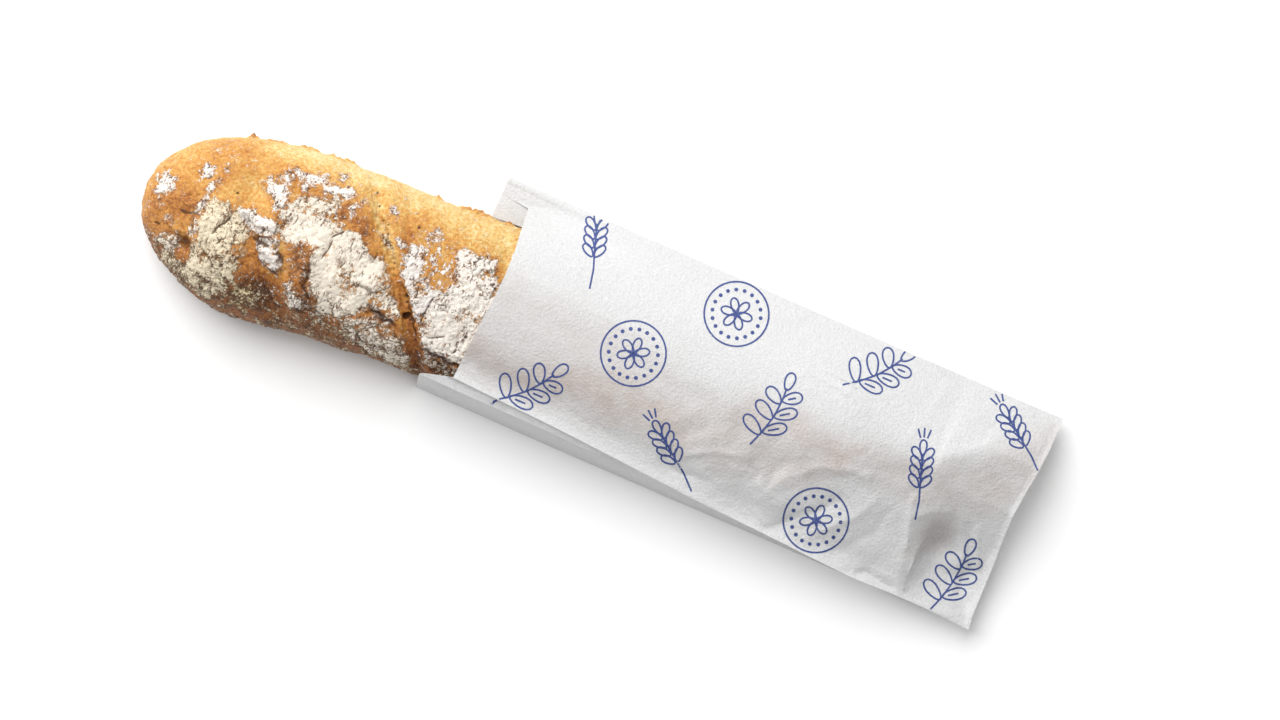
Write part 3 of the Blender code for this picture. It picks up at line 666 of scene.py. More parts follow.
def work_crust(loaf):
    """Push the crust in and out, and note where it is floured, cream, toasted and cracked."""
    mesh = loaf.data
    crust = read_crust(mesh)
    slash, share = line_distance(crust.x, crust.y, SLASH)
    crust.in_slash = np.exp(-((slash / 3.4) ** 4)) * fade_ends(share)
    sift_flour(crust)
    crumble_flour(crust)
    tear_scores(crust)
    crack_crust(crust)
    brown_crust(crust)

    placed = crust.points + crust.normals * crust.relief[:, None]
    # Inside the bag the near shoulder falls away towards the tip.
    shoulder = smooth(70.0, 135.0, crust.x) * smooth(4.0, -24.0, crust.y)
    placed[:, 2] -= 7.0 * shoulder * np.clip(crust.z / 30.0, 0, 1)
    # The underside stays on the table, and the bagged part stays on the bag's back panel.
    rests_at = np.where(crust.x < BAG_UNDER_FROM, 0.05, BAG_UNDER)
    placed[:, 2] = np.maximum(placed[:, 2], np.minimum(rests_at, crust.z))
    placed[:, 2] = np.maximum(placed[:, 2], 0.02)
    write_points(mesh, placed * 0.001)
    write_attribute(mesh, "flour", crust.flour * crust.upper)
    write_attribute(mesh, "soft", crust.soft)
    write_attribute(mesh, "cream", crust.cream)
    write_attribute(mesh, "browning_and_shade", np.clip(crust.browning_and_shade, 0, 1))
    # The painted shade in cracks, grooves, pits and between crumbs.
    write_attribute(mesh, "crack_shade", np.clip(crust.dark, 0, 1) * crust.upper)
    only_select(loaf)
    bpy.ops.object.shade_smooth()


def crust_material():
    """Baked wheat crust under dry flour: matt and grainy, from straw to dark brown, with white
    flour that breaks up into crumbs and lets the crust show through as specks."""
    material, tree, shader = new_material("baked_wheat_crust_with_flour")
    place = add_node(tree, "TexCoord").outputs["Object"]
    floured, soft, cream, shaded_browning, cracked = (
        add_node(tree, "Attribute", attribute_name=name).outputs["Fac"]
        for name in ("flour", "soft", "cream", "browning_and_shade", "crack_shade")
    )
    # Grit of 0.6 mm, specks of 1, freckles of 1.5, crumbs of 2.4, patches of 4 and clouds of 7 mm.
    grains = ((0.6, 3, 0.7), (1.0, 2, 0.75), (1.5, 3, 0.65), (2.4, 2, 0.55), (4.0, 4, 0.65), (7.0, 3, 0.55))
    grit, speck, freckle, crumb, patchy, cloud = (
        add_node(
            tree, "TexNoise", {"Vector": place, "Scale": 1000 / size, "Detail": detail, "Roughness": rough}
        ).outputs[0]
        for size, detail, rough in grains
    )

    # Browning: freckled and cloudy; where flour lies, the crust that shows through is darkened with painted
    # shade.
    browning_and_shade = add_node(tree, "Math", {0: shaded_browning, 1: 0.525}, operation="SUBTRACT").outputs[0]
    for value, weight in ((freckle, 0.8), (cloud, 0.25), (floured, 0.34)):
        browning_and_shade = add_node(tree, "Math", {0: value, 1: weight, 2: browning_and_shade}, operation="MULTIPLY_ADD").outputs[0]
    bake = add_node(tree, "ValToRGB", {"Fac": browning_and_shade})
    stops = (
        (0.0, "#F2DCA8"),
        (0.15, "#E6C27A"),
        (0.3, "#D89F52"),
        (0.45, "#C5833D"),
        (0.62, "#9A5D2C"),
        (0.84, "#52311C"),
    )
    while len(bake.color_ramp.elements) < len(stops):
        bake.color_ramp.elements.new(0.5)
    for element, (at, colour) in zip(bake.color_ramp.elements, stops):
        element.position = at
        element.color = linear(colour)

    # Flour: a cream film round each plate, then the plate, which breaks up at its edges and where
    # it lies thin.
    film = add_node(tree, "Math", {0: patchy, 1: 1.2, 2: floured}, operation="MULTIPLY_ADD").outputs[0]
    cover = floured
    for value, weight in ((speck, 1.7), (crumb, 1.4), (patchy, 1.1)):
        cover = add_node(tree, "Math", {0: value, 1: weight, 2: cover}, operation="MULTIPLY_ADD").outputs[0]
    # Fine splits in the crumbly flour, 0.9 mm wide and twice as long, show the crust under it, its brown
    # darkened with painted shade.
    across = add_node(tree, "Mapping", {"Vector": place, "Scale": (1.0, 0.45, 1.0)}).outputs[0]
    split = add_node(tree, "TexNoise", {"Vector": across, "Scale": 1000 / 0.9, "Roughness": 0.6}).outputs[0]
    for value, weight in ((cloud, 0.9), (patchy, 0.6)):
        split = add_node(tree, "Math", {0: value, 1: weight, 2: split}, operation="MULTIPLY_ADD").outputs[0]
    # Cracks and burst bubbles are darkened inside with painted shade.
    crack_shade = add_node(tree, "Math", {0: speck, 1: 0.9, 2: cracked}, operation="MULTIPLY_ADD").outputs[0]
    film, cover, split, thick, crack_shade = (
        add_node(
            tree,
            "MapRange",
            {"Value": value, "From Min": low, "From Max": high, "To Max": most},
            interpolation_type="SMOOTHSTEP",
        ).outputs[0]
        for value, low, high, most in (
            (film, 0.6, 1.7, 0.42),
            (cover, 2.44, 2.84, 1.0),
            (split, 1.39, 1.48, 0.85),
            (floured, 0.15, 0.5, 1.0),
            (crack_shade, 0.7, 1.25, 0.85),
        )
    )
    crumbly = add_node(tree, "Math", {0: 1.0, 1: soft}, operation="SUBTRACT", use_clamp=True).outputs[0]
    for share in (thick, crumbly):
        split = add_node(tree, "Math", {0: split, 1: share}, operation="MULTIPLY").outputs[0]
    flour = add_node(
        tree, "Mix", {"Factor": cream, 6: linear("#FAF2EA"), 7: linear("#EEDAAA")}, data_type="RGBA"
    ).outputs[2]
    colour = bake.outputs[0]
    # The split colour is the crust's brown with painted shade; the crack colour is painted shade.
    for share, over in (
        (film, linear("#DDC193")),
        (cover, flour),
        (split, linear("#7E4A22")),
        (crack_shade, linear("#4E2E18")),
    ):
        colour = add_node(tree, "Mix", {"Factor": share, 6: colour, 7: over}, data_type="RGBA").outputs[2]
    tree.links.new(colour, shader.inputs["Base Color"])

    # Flour scatters light evenly; bare crust has a faint baked sheen.
    gloss = add_node(tree, "MapRange", {"Value": cover, "To Min": 0.5, "To Max": 0.95}).outputs[0]
    tree.links.new(gloss, shader.inputs["Roughness"])
    shader.inputs["Specular IOR Level"].default_value = 0.35
    shader.inputs["IOR"].default_value = 1.45

    # Grain too fine for the mesh, gentler where the flour lies soft.
    height = add_node(tree, "Math", {0: grit, 1: 0.6, 2: -0.85}, operation="MULTIPLY_ADD").outputs[0]
    for value, share in ((speck, 1.1), (cover, 0.25), (split, -0.82)):
        height = add_node(tree, "Math", {0: value, 1: share, 2: height}, operation="MULTIPLY_ADD").outputs[0]
    grainy = add_node(tree, "MapRange", {"Value": soft, "To Min": 1.0, "To Max": 0.35}).outputs[0]
    height = add_node(tree, "Math", {0: height, 1: grainy}, operation="MULTIPLY").outputs[0]
    bump = add_node(tree, "Bump", {"Height": height, "Strength": 0.9, "Distance": 0.0007})
    tree.links.new(bump.outputs[0], shader.inputs["Normal"])
    return material


loaf = make_loaf()
work_crust(loaf)
loaf.data.materials.clear()
loaf.data.materials.append(crust_material())
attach(loaf, "root")
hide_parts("loaf")

# ---------------------------------------------------------------------------------------------
# The paper bag: one sheet of thin white kraft paper, folded into a flat tube with a gusset down
# each side and glued at the far end. The near gusset bulges out beside the loaf, the far one
# stays folded in. The paper lies taut over the crown and goes slack past the loaf's tip.
# ---------------------------------------------------------------------------------------------
PAPER_THICKNESS = 0.00012
PAPER_CLEAR = 0.6  # mm between the loaf and the taut sheet,
PRESSED_CLEAR = 0.45  # and where a fold or hollow presses it down
NO_LOAF = -99.0
RAY_FROM = 200.0  # mm, clear of the part
# The front panel's cut edge: (y, x).
FRONT_EDGE = ((-41, -49.0), (-20, -48.0), (0, -46.7), (12, -46.3), (24, -46.9), (36, -48.7), (45, -50.0))
FRONT_MOUTH = -49.0
BACK_MOUTH = -64.0
BAG_END = 216.0
TIP_X = 168.0  # held up by the loaf's tip as far as here, the paper then runs down to the glued end
LIFT_POWER = 1.2
GLUED = 2.4  # mm of the end where the panels are glued and stand a little proud
TIP_LINE = ((-22, 25.0), (-12, 28.5), (-2, 31.5), (6, 34.0), (12, 35.5), (17, 34.5))  # y, z
CREASES = (  # x, then (y, z) of near front, near fold, near back, far front, far fold, far back
    (-64, (-40.0, 36.6), (-46.6, 35.2), (-52.3, 0.1), (54.5, 3.6), (34.6, 7.6), (53.0, 0.1)),
    (-36, (-41.2, 35.4), (-46.6, 33.8), (-52.3, 0.1), (54.5, 6.6), (36.5, 7.4), (53.1, 0.1)),
    (6, (-42.8, 33.0), (-46.4, 31.4), (-52.2, 0.1), (54.6, 11.5), (39.0, 6.4), (53.2, 0.1)),
    (76, (-47.0, 27.0), (-47.8, 21.0), (-51.5, 0.1), (54.9, 13.5), (40.5, 6.0), (53.6, 0.1)),
    (116, (-48.6, 24.3), (-46.5, 14.0), (-51.0, 0.1), (55.2, 13.5), (42.5, 6.0), (54.0, 0.1)),
    (154, (-50.4, 20.6), (-45.8, 10.5), (-50.8, 0.1), (55.6, 13.0), (45.0, 5.0), (54.7, 0.1)),
    (171, (-50.0, 17.6), (-45.4, 9.0), (-50.5, 0.1), (55.8, 11.4), (47.0, 4.6), (55.0, 0.1)),
    (180, (-49.8, 14.4), (-46.0, 7.4), (-50.3, 0.1), (55.8, 9.8), (48.5, 4.2), (55.2, 0.1)),
    (192, (-49.8, 9.4), (-47.0, 4.9), (-50.3, 0.1), (55.9, 6.8), (50.5, 3.2), (55.4, 0.1)),
    (216, (-50.9, 0.9), (-50.4, 0.5), (-50.9, 0.1), (56.4, 0.9), (55.9, 0.5), (56.4, 0.1)),
)
# How high the glued end floats over the table: (y, z), and how far the loaf draws it in: (y, x).
END_LIFT = ((-51, 9.0), (-32, 8.5), (-12, 12.5), (6, 19.0), (30, 19.0), (57, 8.0))
END_DRAWN = (
    (-51, 0.0), (-45, 0.9), (-20, 1.7), (-8, 2.6), (4, 3.4), (12, 3.0), (25, 1.4), (40, 0.0), (57, -0.6),
)
NOTCH_FAR = (44.6, 46.0)
# How many strips of mesh run across each part of the tube, and how many rows along it.
PANEL_STEPS = 100
MARGIN_STEPS = 8
FOLD_STEPS = 6
BACK_STEPS = 24
SHEET_ROWS = 280
# Folds pressed into the front panel: points (x, y), half width, height (down if negative).
PAPER_FOLDS = (
    (((109, -47), (116, -40), (123, -33), (131, -25), (138, -17)), 4.6, -2.2),
    (((101, -32), (107, -24), (113, -17), (121, -10), (132, -6), (146, -5)), 3.6, 1.3),
    (((97, -6), (102, -13), (104, -21), (102, -29)), 3.6, -1.0),
    (((52, -34), (60, -37), (68, -35.5), (76, -30.5), (88, -26), (99, -24.5)), 3.2, -1.7),
    (((60, -32), (68, -27), (78, -22), (92, -20)), 2.6, 1.0),
    (((54, -27), (62, -19), (70, -13), (78, -9)), 3.2, -0.9),
    (((40, -24), (52, -18), (62, -8)), 3.0, 0.5),
    (((99, -39.5), (108, -43.5), (118, -48)), 0.8, 0.5),
    (((97, -42.5), (106, -46)), 0.8, 0.4),
    (((126, -44), (137, -34), (146, -24), (152, -12)), 3.0, 0.9),
    (((140, -46), (148, -38), (156, -26), (160, -14)), 3.2, -0.7),
    (((-48, -33.0), (-40, -36), (-31, -39.5)), 0.8, 0.4),
    (((-6, -31), (6, -34), (16, -39)), 0.9, 0.25),
    (((166.5, -3), (168, -10), (170.5, -18), (173.5, -29)), 2.3, 1.2),
    (((170.5, -15), (177, -8), (187, -4)), 2.6, 1.0),
    (((172, -20), (174.5, -34), (177, -48)), 1.4, 0.3),
    (((178.0, -25), (178.8, -36), (179.2, -49)), 0.8, -0.35),
    (((180, -31), (197, -31), (215, -32)), 13.0, -6.5),
    (((196, -5), (203, -20), (212.5, -35)), 1.7, -1.2),
    (((200.5, -4), (207, -18.5), (214.5, -31)), 1.5, 0.7),
    (((192, -8), (200, -26), (204, -44)), 2.2, 0.5),
    (((168, 12), (176, 19), (190, 33), (203, 45), (215, 55)), 3.0, 0.25),
    (((157, -48.8), (161, -45.5), (168, -45.8), (177, -48)), 1.5, -1.3),
    (((148, 3), (160, 5), (174, 3)), 3.2, -0.4),
    (((112, 3), (128, -1), (146, 1), (160, 0)), 2.2, -0.5),
    (((86, 5), (96, 24), (98, 34)), 1.4, 0.18),
    (((92, 5), (104, 22)), 1.2, 0.15),
    (((121, 10), (128, 26), (126, 40)), 2.6, 0.3),
    (((150, 14), (158, 30), (162, 50)), 3.0, 0.35),
    (((40, 30), (70, 44), (90, 52)), 3.0, 0.2),
)
# Hollows: x, y, radii, slant, depth.
PAPER_HOLLOWS = (
    (187.5, -19.0, 9.0, 8.5, 8.0, 9.5),
    (204.0, -47.0, 9.0, 9.0, 0.0, -1.8),
    (118.0, 32.0, 14.0, 9.0, 20.0, 0.5),
    (-54.0, 44.5, 40.0, 7.5, 0.0, 7.4),
)
# Where a warm tint is painted on the paper: painted show-through of the loaf, and painted shade on the near
# side, in the end's hollow and on its slope turned from the light; outline in plan, and how strongly.
SHOWTHROUGH_AND_SHADE = (
    (((-60, -35), (-30, -35), (0, -34), (30, -31), (60, -29), (60, -15), (30, -10), (0, -12), (-20, -19),
      (-60, -22)), 0.42),
    (((-60, -30), (-30, -30), (0, -29), (30, -26), (56, -22), (56, -3), (45, 6), (20, 9), (0, 10),
      (-20, 12), (-60, 14)), 0.27),
    (((60, -30), (85, -27), (104, -26), (120, -20), (134, -12), (134, 4), (110, 6), (85, 3), (58, 1)),
      0.40),
    (((80, -3), (110, 1), (126, -7), (150, -5), (170, -4), (190, -2), (204, 2), (204, 18), (190, 20),
      (168, 14),
      (146, 10), (126, 8), (84, 6)), 0.34),
    # painted shade on the closed end's slope turned from the light
    (((190, 16), (204, 14), (216, 20), (216, 52), (207, 46), (192, 30)), 0.32),
    # painted shade in the hollow at the closed end
    (((175, -10), (190, -9), (190, -22), (179, -27)), 0.4),
)


def curve_through(stations, at):
    """A smooth curve through (x, value) stations."""
    at = min(max(at, stations[0][0]), stations[-1][0])
    last = len(stations) - 1
    i = next(k for k in range(last) if at <= stations[k + 1][0])

    def slope(k):
        low, high = max(k - 1, 0), min(k + 1, last)
        return (stations[high][1] - stations[low][1]) / (stations[high][0] - stations[low][0])

    (x0, v0), (x1, v1) = stations[i], stations[i + 1]
    run, t = x1 - x0, (at - x0) / (x1 - x0)
    ease = v0 * (1 + 2 * t) * (1 - t) ** 2 + v1 * t * t * (3 - 2 * t)
    return ease + run * (slope(i) * t * (1 - t) ** 2 + slope(i + 1) * t * t * (t - 1))


def height_map(tree, xs, ys):
    """The loaf's height under each (x, y), or NO_LOAF beside it: the highest of its neighbours."""
    heights = np.full((len(xs), len(ys)), NO_LOAF)
    for i, x in enumerate(xs):
        for j, y in enumerate(ys):
            hit = tree.ray_cast(Vector((x, y, RAY_FROM)), Vector((0, 0, -1)))
            if hit[0] is not None:
                heights[i, j] = hit[0].z
    for axis in (0, 1):
        heights = np.max([heights, np.roll(heights, 1, axis), np.roll(heights, -1, axis)], axis=0)
    heights[-1] = NO_LOAF
    return heights


def ray_tree(mesh):
    """A tree for casting rays at a mesh, in millimetres."""
    mesh.calc_loop_triangles()
    return BVHTree.FromPolygons(
        [vertex.co * 1000 for vertex in mesh.vertices], [tuple(t.vertices) for t in mesh.loop_triangles]
    )


MAP_X, MAP_Y = np.arange(-68.0, 182.0, 1.0), np.arange(-56.0, 46.0, 1.0)
loaf_heights = height_map(ray_tree(loaf.data), MAP_X, MAP_Y)


def loaf_height(x, y):
    i = np.clip(np.rint(x - MAP_X[0]).astype(int), 0, len(MAP_X) - 1)
    j = np.clip(np.rint(y - MAP_Y[0]).astype(int), 0, len(MAP_Y) - 1)
    return loaf_heights[i, j]


def loaf_tops(x):
    """Points (y, z) just over the loaf at x."""
    ys = np.arange(-50.0, 42.0, 2.0)
    zs = loaf_height(np.full(ys.shape, x), ys)
    return [(float(y), float(z) + PAPER_CLEAR) for y, z in zip(ys, zs) if z > 0]


def upper_hull(points):
    chain = []
    for p in sorted(points):
        while len(chain) > 1:
            (ax, ay), (bx, by) = chain[-2], chain[-1]
            if (bx - ax) * (p[1] - ay) - (by - ay) * (p[0] - ax) < 0:
                break
            chain.pop()
        chain.append(p)
    return chain


def run_lengths(line):
    """How far along the line each of its points is."""
    return np.concatenate([[0.0], np.cumsum([math.dist(a, b) for a, b in zip(line, line[1:])])])


def even_steps(line, count):
    lengths = run_lengths(line)
    wanted = np.linspace(0, lengths[-1], count + 1)
    ys = np.interp(wanted, lengths, [p[0] for p in line])
    zs = np.interp(wanted, lengths, [p[1] for p in line])
    return list(zip(ys, zs))


def crease_at(number, x):
    """(y, z) of one of the creases at x, numbered as in the table."""
    return tuple(curve_through([(row[0], row[number][axis]) for row in CREASES], x) for axis in (0, 1))


def sheet_row(x, tops):
    """The tube's section at x: front panel, margin, far gusset, back panel, near gusset."""
    near_front, near_fold, near_back, far_front, far_fold, far_back = (crease_at(k, x) for k in range(1, 7))
    line = upper_hull([near_front, *[p for p in tops if near_front[0] < p[0] < far_front[0]], far_front])
    ys, zs = [p[0] for p in line], [p[1] for p in line]
    cut = [(y, float(np.interp(y, ys, zs))) for y in NOTCH_FAR]
    panel = [p for p in line if p[0] < cut[0][0]] + [cut[0]]
    margin = [cut[1]] + [p for p in line if p[0] > cut[1][0]]
    row = even_steps(panel, PANEL_STEPS) + even_steps(margin, MARGIN_STEPS)[:-1]
    for start, end, steps in (
        (far_front, far_fold, FOLD_STEPS),
        (far_fold, far_back, FOLD_STEPS),
        (far_back, near_back, BACK_STEPS),
        (near_back, near_fold, FOLD_STEPS),
        (near_fold, near_front, FOLD_STEPS),
    ):
        row += even_steps([start, end], steps)[:-1]
    return row


def mouth_line():
    """x of the paper's cut edge at each point of a row."""
    places = [FRONT_MOUTH] * (PANEL_STEPS + 1)
    places += [BACK_MOUTH] * (MARGIN_STEPS + 3 * FOLD_STEPS + BACK_STEPS)
    # The notch's near side runs on a slant over the gusset, from its fold up to the crease.
    slants = [max(i / FOLD_STEPS - 0.25, 0) / 0.75 for i in range(FOLD_STEPS)]
    places += [BACK_MOUTH + (FRONT_MOUTH - BACK_MOUTH) * slant for slant in slants]
    return places


def sheet_shape():
    """Rows of (x, y, z) in mm, from the mouth to the closed end."""
    mouths = np.array(mouth_line())
    count = len(mouths)
    stations = np.concatenate([np.arange(BACK_MOUTH, 150.0, 6.0), np.arange(150.0, BAG_END, 3.0), [BAG_END]])
    hulls = {float(x): loaf_tops(float(x)) for x in stations}
    # Past the loaf's tip the taut paper runs in straight lines down to the closed end.
    for x in stations[stations > TIP_X - 4.0]:
        share = min((BAG_END - x) / (BAG_END - TIP_X), 1.0)
        for end_y in (-2.0, 6.0, 42.0):
            hulls[float(x)] += [(end_y + (y - end_y) * share, 0.9 + (z - 0.9) * share) for y, z in TIP_LINE]
    rows = np.array([sheet_row(float(x), hulls[float(x)]) for x in stations])
    # Stiff paper bends evenly along the bag, and spans the loaf's hollows lengthwise.
    for _ in range(3):
        rows[1:-1] = 0.25 * rows[:-2] + 0.5 * rows[1:-1] + 0.25 * rows[2:]
    for j in range(1, PANEL_STEPS + MARGIN_STEPS):
        line = upper_hull(zip(stations.tolist(), rows[:, j, 1].tolist()))
        rows[:, j, 1] = np.interp(stations, [p[0] for p in line], [p[1] for p in line])
    # The front edge is cut straight, but bends back a little where it climbs over the loaf.
    mouths[: PANEL_STEPS + 1] = np.interp(rows[2, : PANEL_STEPS + 1, 0], *zip(*FRONT_EDGE))
    sheet = np.empty((SHEET_ROWS + 1, count, 3))
    for j in range(count):
        x = mouths[j] + (BAG_END - mouths[j]) * np.linspace(0, 1, SHEET_ROWS + 1)
        sheet[:, j, 0] = x
        sheet[:, j, 1] = np.interp(x, stations, rows[:, j, 0])
        sheet[:, j, 2] = np.interp(x, stations, rows[:, j, 1])
    return sheet


def past_tip(x):
    """0 at the loaf's tip, 1 at the closed end of the bag."""
    return np.clip((x - TIP_X) / (BAG_END - TIP_X), 0, 1)


def pressed_folds(x, y, flat):
    """How far the folds and hollows lift the front panel at each point."""
    wander = grain(flat, 14.0, 2, 29.0).reshape(x.shape)
    lift = np.zeros(x.shape)
    for line, half, height in PAPER_FOLDS:
        d, share = line_distance(x + 1.2 * wander, y - 1.2 * wander, line)
        lift += height * fade_ends(share) * np.exp(-(np.abs(d / half) ** 1.35))
    for *place, depth in PAPER_HOLLOWS:
        lift -= depth * np.exp(-ellipse(x, y, place))
    return lift


def handled_creases(x, y, flat):
    """Creases of handled paper: they run up to the right, more where the sheet is slack."""
    slack = smooth(25.0, 85.0, x) * smooth(10.0, -8.0, y) * (1 - 0.45 * smooth(132.0, 152.0, x))
    slack = np.clip(np.maximum(slack, 0.5 * smooth(TIP_X, 180.0, x)), 0.05, 1)
    turned = flat @ np.array([[0.40, -0.66, 0], [0.35, 0.75, 0], [0, 0, 0.5]])
    creases = 1.7 * np.abs(grain(turned, 27.0, 2, 31.0)) + 0.55 * np.abs(grain(turned, 9.0, 2, 35.0))
    cockle = 0.25 * grain(flat, 26.0, 2, 37.0) + 0.05 * grain(flat, 5.0, 2, 39.0)
    return (creases.reshape(x.shape) - 0.5) * slack + cockle.reshape(x.shape) * (0.35 + 0.65 * slack)


def lift_end(sheet, front):
    """The loaf's tip lifts the glued end off the table and draws it in."""
    t = past_tip(sheet[:, :, 0])
    sheet[:, :, 2] += t**LIFT_POWER * np.interp(sheet[:, :, 1], *zip(*END_LIFT))
    sheet[:, :front, 2] += 0.7 * np.clip((sheet[:, :front, 0] - BAG_END + GLUED) / GLUED, 0, 1)
    sheet[:, :, 0] -= t**2 * np.interp(sheet[:, :, 1], *zip(*END_DRAWN))


def cockle_gusset(sheet):
    """The near gusset is cockled too, and the fold along its middle is a fine groove."""
    fold = sheet.shape[1] - FOLD_STEPS
    ply = sheet[:, fold - FOLD_STEPS + 1 :]
    flat = ply.reshape(-1, 3)
    loose = np.clip((150.0 - flat[:, 0]) / 60.0, 0, 1)
    wave = (0.9 * grain(flat, 16.0, 2, 47.0) + 0.5 * np.abs(grain(flat, 7.0, 2, 49.0))) * loose
    ply[:, :, 2] += wave.reshape(ply.shape[:2])
    groove = np.clip((130.0 - sheet[:, fold, 0]) / 60.0, 0, 1)
    sheet[:, fold, 1] += 0.8 * groove
    sheet[:, fold, 2] -= 0.5 * groove


def crumple(sheet):
    """Press folds, hollows and cockle into the front panel; it stays clear of the loaf."""
    front = PANEL_STEPS + 1 + MARGIN_STEPS
    x, y, z = (sheet[:, :front, k] for k in range(3))
    near, far = sheet[:, :1, 1], sheet[:, front : front + 1, 1]
    flat = np.stack([x.ravel(), y.ravel(), z.ravel()], axis=1)
    lift = pressed_folds(x, y, flat) + handled_creases(x, y, flat)
    # The panel stays in place along the creases and the glued end.
    free = np.clip((y - near) / 2.5, 0, 1) * np.clip((far - y) / 4.0, 0, 1)
    free *= np.clip((BAG_END - x) / 4.0, 0.1, 1)
    # Off the loaf the sheet sags, and levels out again towards the pressed fold of the near crease.
    run = y - near
    curl = 1.5 * np.clip(1 - run / 5.0, 0, 1) ** 2 - 1.1 * np.exp(-(((run - 9.0) / 5.0) ** 2))
    shaped = z + lift * free + curl * np.clip((BAG_END - x) / 60.0, 0, 1)
    # The paper never passes through the loaf, and keeps clear of the panel under it.
    lowest = np.maximum(loaf_height(x, y) + PRESSED_CLEAR, np.minimum(z, PAPER_CLEAR))
    sheet[:, :front, 2] = np.maximum(shaped, lowest)
    lift_end(sheet, front)
    cockle_gusset(sheet)
    return sheet


def make_bag():
    count = len(mouth_line())
    sheet = crumple(sheet_shape())
    bpy.ops.object.select_all(action="DESELECT")
    bpy.ops.mesh.primitive_grid_add(x_subdivisions=count, y_subdivisions=SHEET_ROWS, size=1.0)
    bag = bpy.context.object
    bag.name = "gusseted_paper_bag"
    mesh = bag.data
    flat = read_vectors(mesh, "co")
    column = np.rint((flat[:, 0] + 0.5) * count).astype(int)
    row = np.rint((flat[:, 1] + 0.5) * SHEET_ROWS).astype(int)
    write_points(mesh, sheet[row, column % count] * 0.001)
    at_end = row == SHEET_ROWS
    # The two long edges meet: glue them, then close the far end.
    only_select(bag)
    group = bag.vertex_groups.new(name="glued_end")
    group.add([int(i) for i in np.nonzero(at_end)[0]], 1.0, "REPLACE")
    bpy.context.tool_settings.mesh_select_mode = (True, False, False)
    bpy.ops.object.mode_set(mode="EDIT")
    bpy.ops.mesh.select_all(action="SELECT")
    bpy.ops.mesh.remove_doubles(threshold=1e-7)
    bpy.ops.mesh.select_all(action="DESELECT")
    bpy.ops.object.vertex_group_select()
    bpy.ops.mesh.fill(use_beauty=True)
    bpy.ops.mesh.select_all(action="SELECT")
    bpy.ops.mesh.normals_make_consistent(inside=False)
    bpy.ops.object.mode_set(mode="OBJECT")
    bag.vertex_groups.clear()

    # Painted show-through and painted shade, from 0 to 1: a warm darker tint where the paper lies on the
    # loaf, in hollows and on slopes turned from the light.
    places = read_vectors(mesh, "co") * 1000
    px = places[:, 0] + 5 * grain(places, 18.0, 3, 41.0)
    py = places[:, 1] + 5 * grain(places, 18.0, 3, 43.0)
    showthrough_and_shade = np.zeros(len(places))
    for outline, amount in SHOWTHROUGH_AND_SHADE:
        showthrough_and_shade += amount * smooth(-8.0, 7.0, inside_distance(px, py, outline))
    write_attribute(mesh, "painted_showthrough_shade", np.clip(showthrough_and_shade, 0, 1) * (places[:, 2] > 2.0))
    wall = bag.modifiers.new("paper_thickness", "SOLIDIFY")
    wall.thickness = PAPER_THICKNESS
    wall.offset = -1.0
    bpy.ops.object.modifier_apply(modifier=wall.name)
    bpy.ops.object.shade_smooth_by_angle(angle=math.radians(35))
    return bag


def paper_material():
    """Bleached kraft paper, thin and matt: cloudy with fibres, with a warm painted show-through of the loaf
    and painted shade in hollows and on slopes turned from the light; a little light passes through it."""
    material, tree, shader = new_material("bleached_thin_kraft_paper")
    place = add_node(tree, "TexCoord").outputs["Object"]
    painted_showthrough_shade = add_node(tree, "Attribute", attribute_name="painted_showthrough_shade").outputs["Fac"]
    # Fibre clouds of 1.3 mm and blotches of 9 mm: real clouds are finer, these are as fine as shows.
    cloudy, blotch = (
        add_node(
            tree, "TexNoise", {"Vector": place, "Scale": 1000 / size, "Detail": detail, "Roughness": rough}
        ).outputs[0]
        for size, detail, rough in ((1.3, 4, 0.7), (9.0, 3, 0.6))
    )
    uneven, fibre = (
        add_node(
            tree,
            "MapRange",
            {"Value": value, "From Min": 0.5 - half, "From Max": 0.5 + half, "To Min": low, "To Max": high},
        ).outputs[0]
        for value, half, low, high in ((blotch, 0.2, 0.5, 1.1), (cloudy, 0.25, 0.90, 1.06))
    )
    # Painted show-through and painted shade, broken up by the blotches.
    warm = add_node(tree, "Math", {0: painted_showthrough_shade, 1: uneven}, operation="MULTIPLY", use_clamp=True).outputs[0]
    colour = add_node(
        tree, "Mix", {"Factor": warm, 6: linear("#F2F2F2"), 7: linear("#D4C2B8")}, data_type="RGBA"
    ).outputs[2]
    colour = add_node(
        tree, "Mix", {"Factor": 1.0, 6: colour, 7: fibre}, data_type="RGBA", blend_type="MULTIPLY"
    ).outputs[2]
    tree.links.new(colour, shader.inputs["Base Color"])
    shader.inputs["Roughness"].default_value = 0.62
    shader.inputs["Specular IOR Level"].default_value = 0.3
    shader.inputs["IOR"].default_value = 1.47
    bump = add_node(tree, "Bump", {"Height": cloudy, "Strength": 0.9, "Distance": 0.0009})
    tree.links.new(bump.outputs[0], shader.inputs["Normal"])
    through = add_node(tree, "BsdfTranslucent", {"Color": colour}).outputs[0]
    both = add_node(tree, "MixShader", {0: 0.22, 1: shader.outputs[0], 2: through}).outputs[0]
    tree.links.new(both, tree.nodes["Material Output"].inputs["Surface"])
    return material


bag = make_bag()
bag.data.materials.append(paper_material())
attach(bag, "root")
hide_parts("paper_bag")

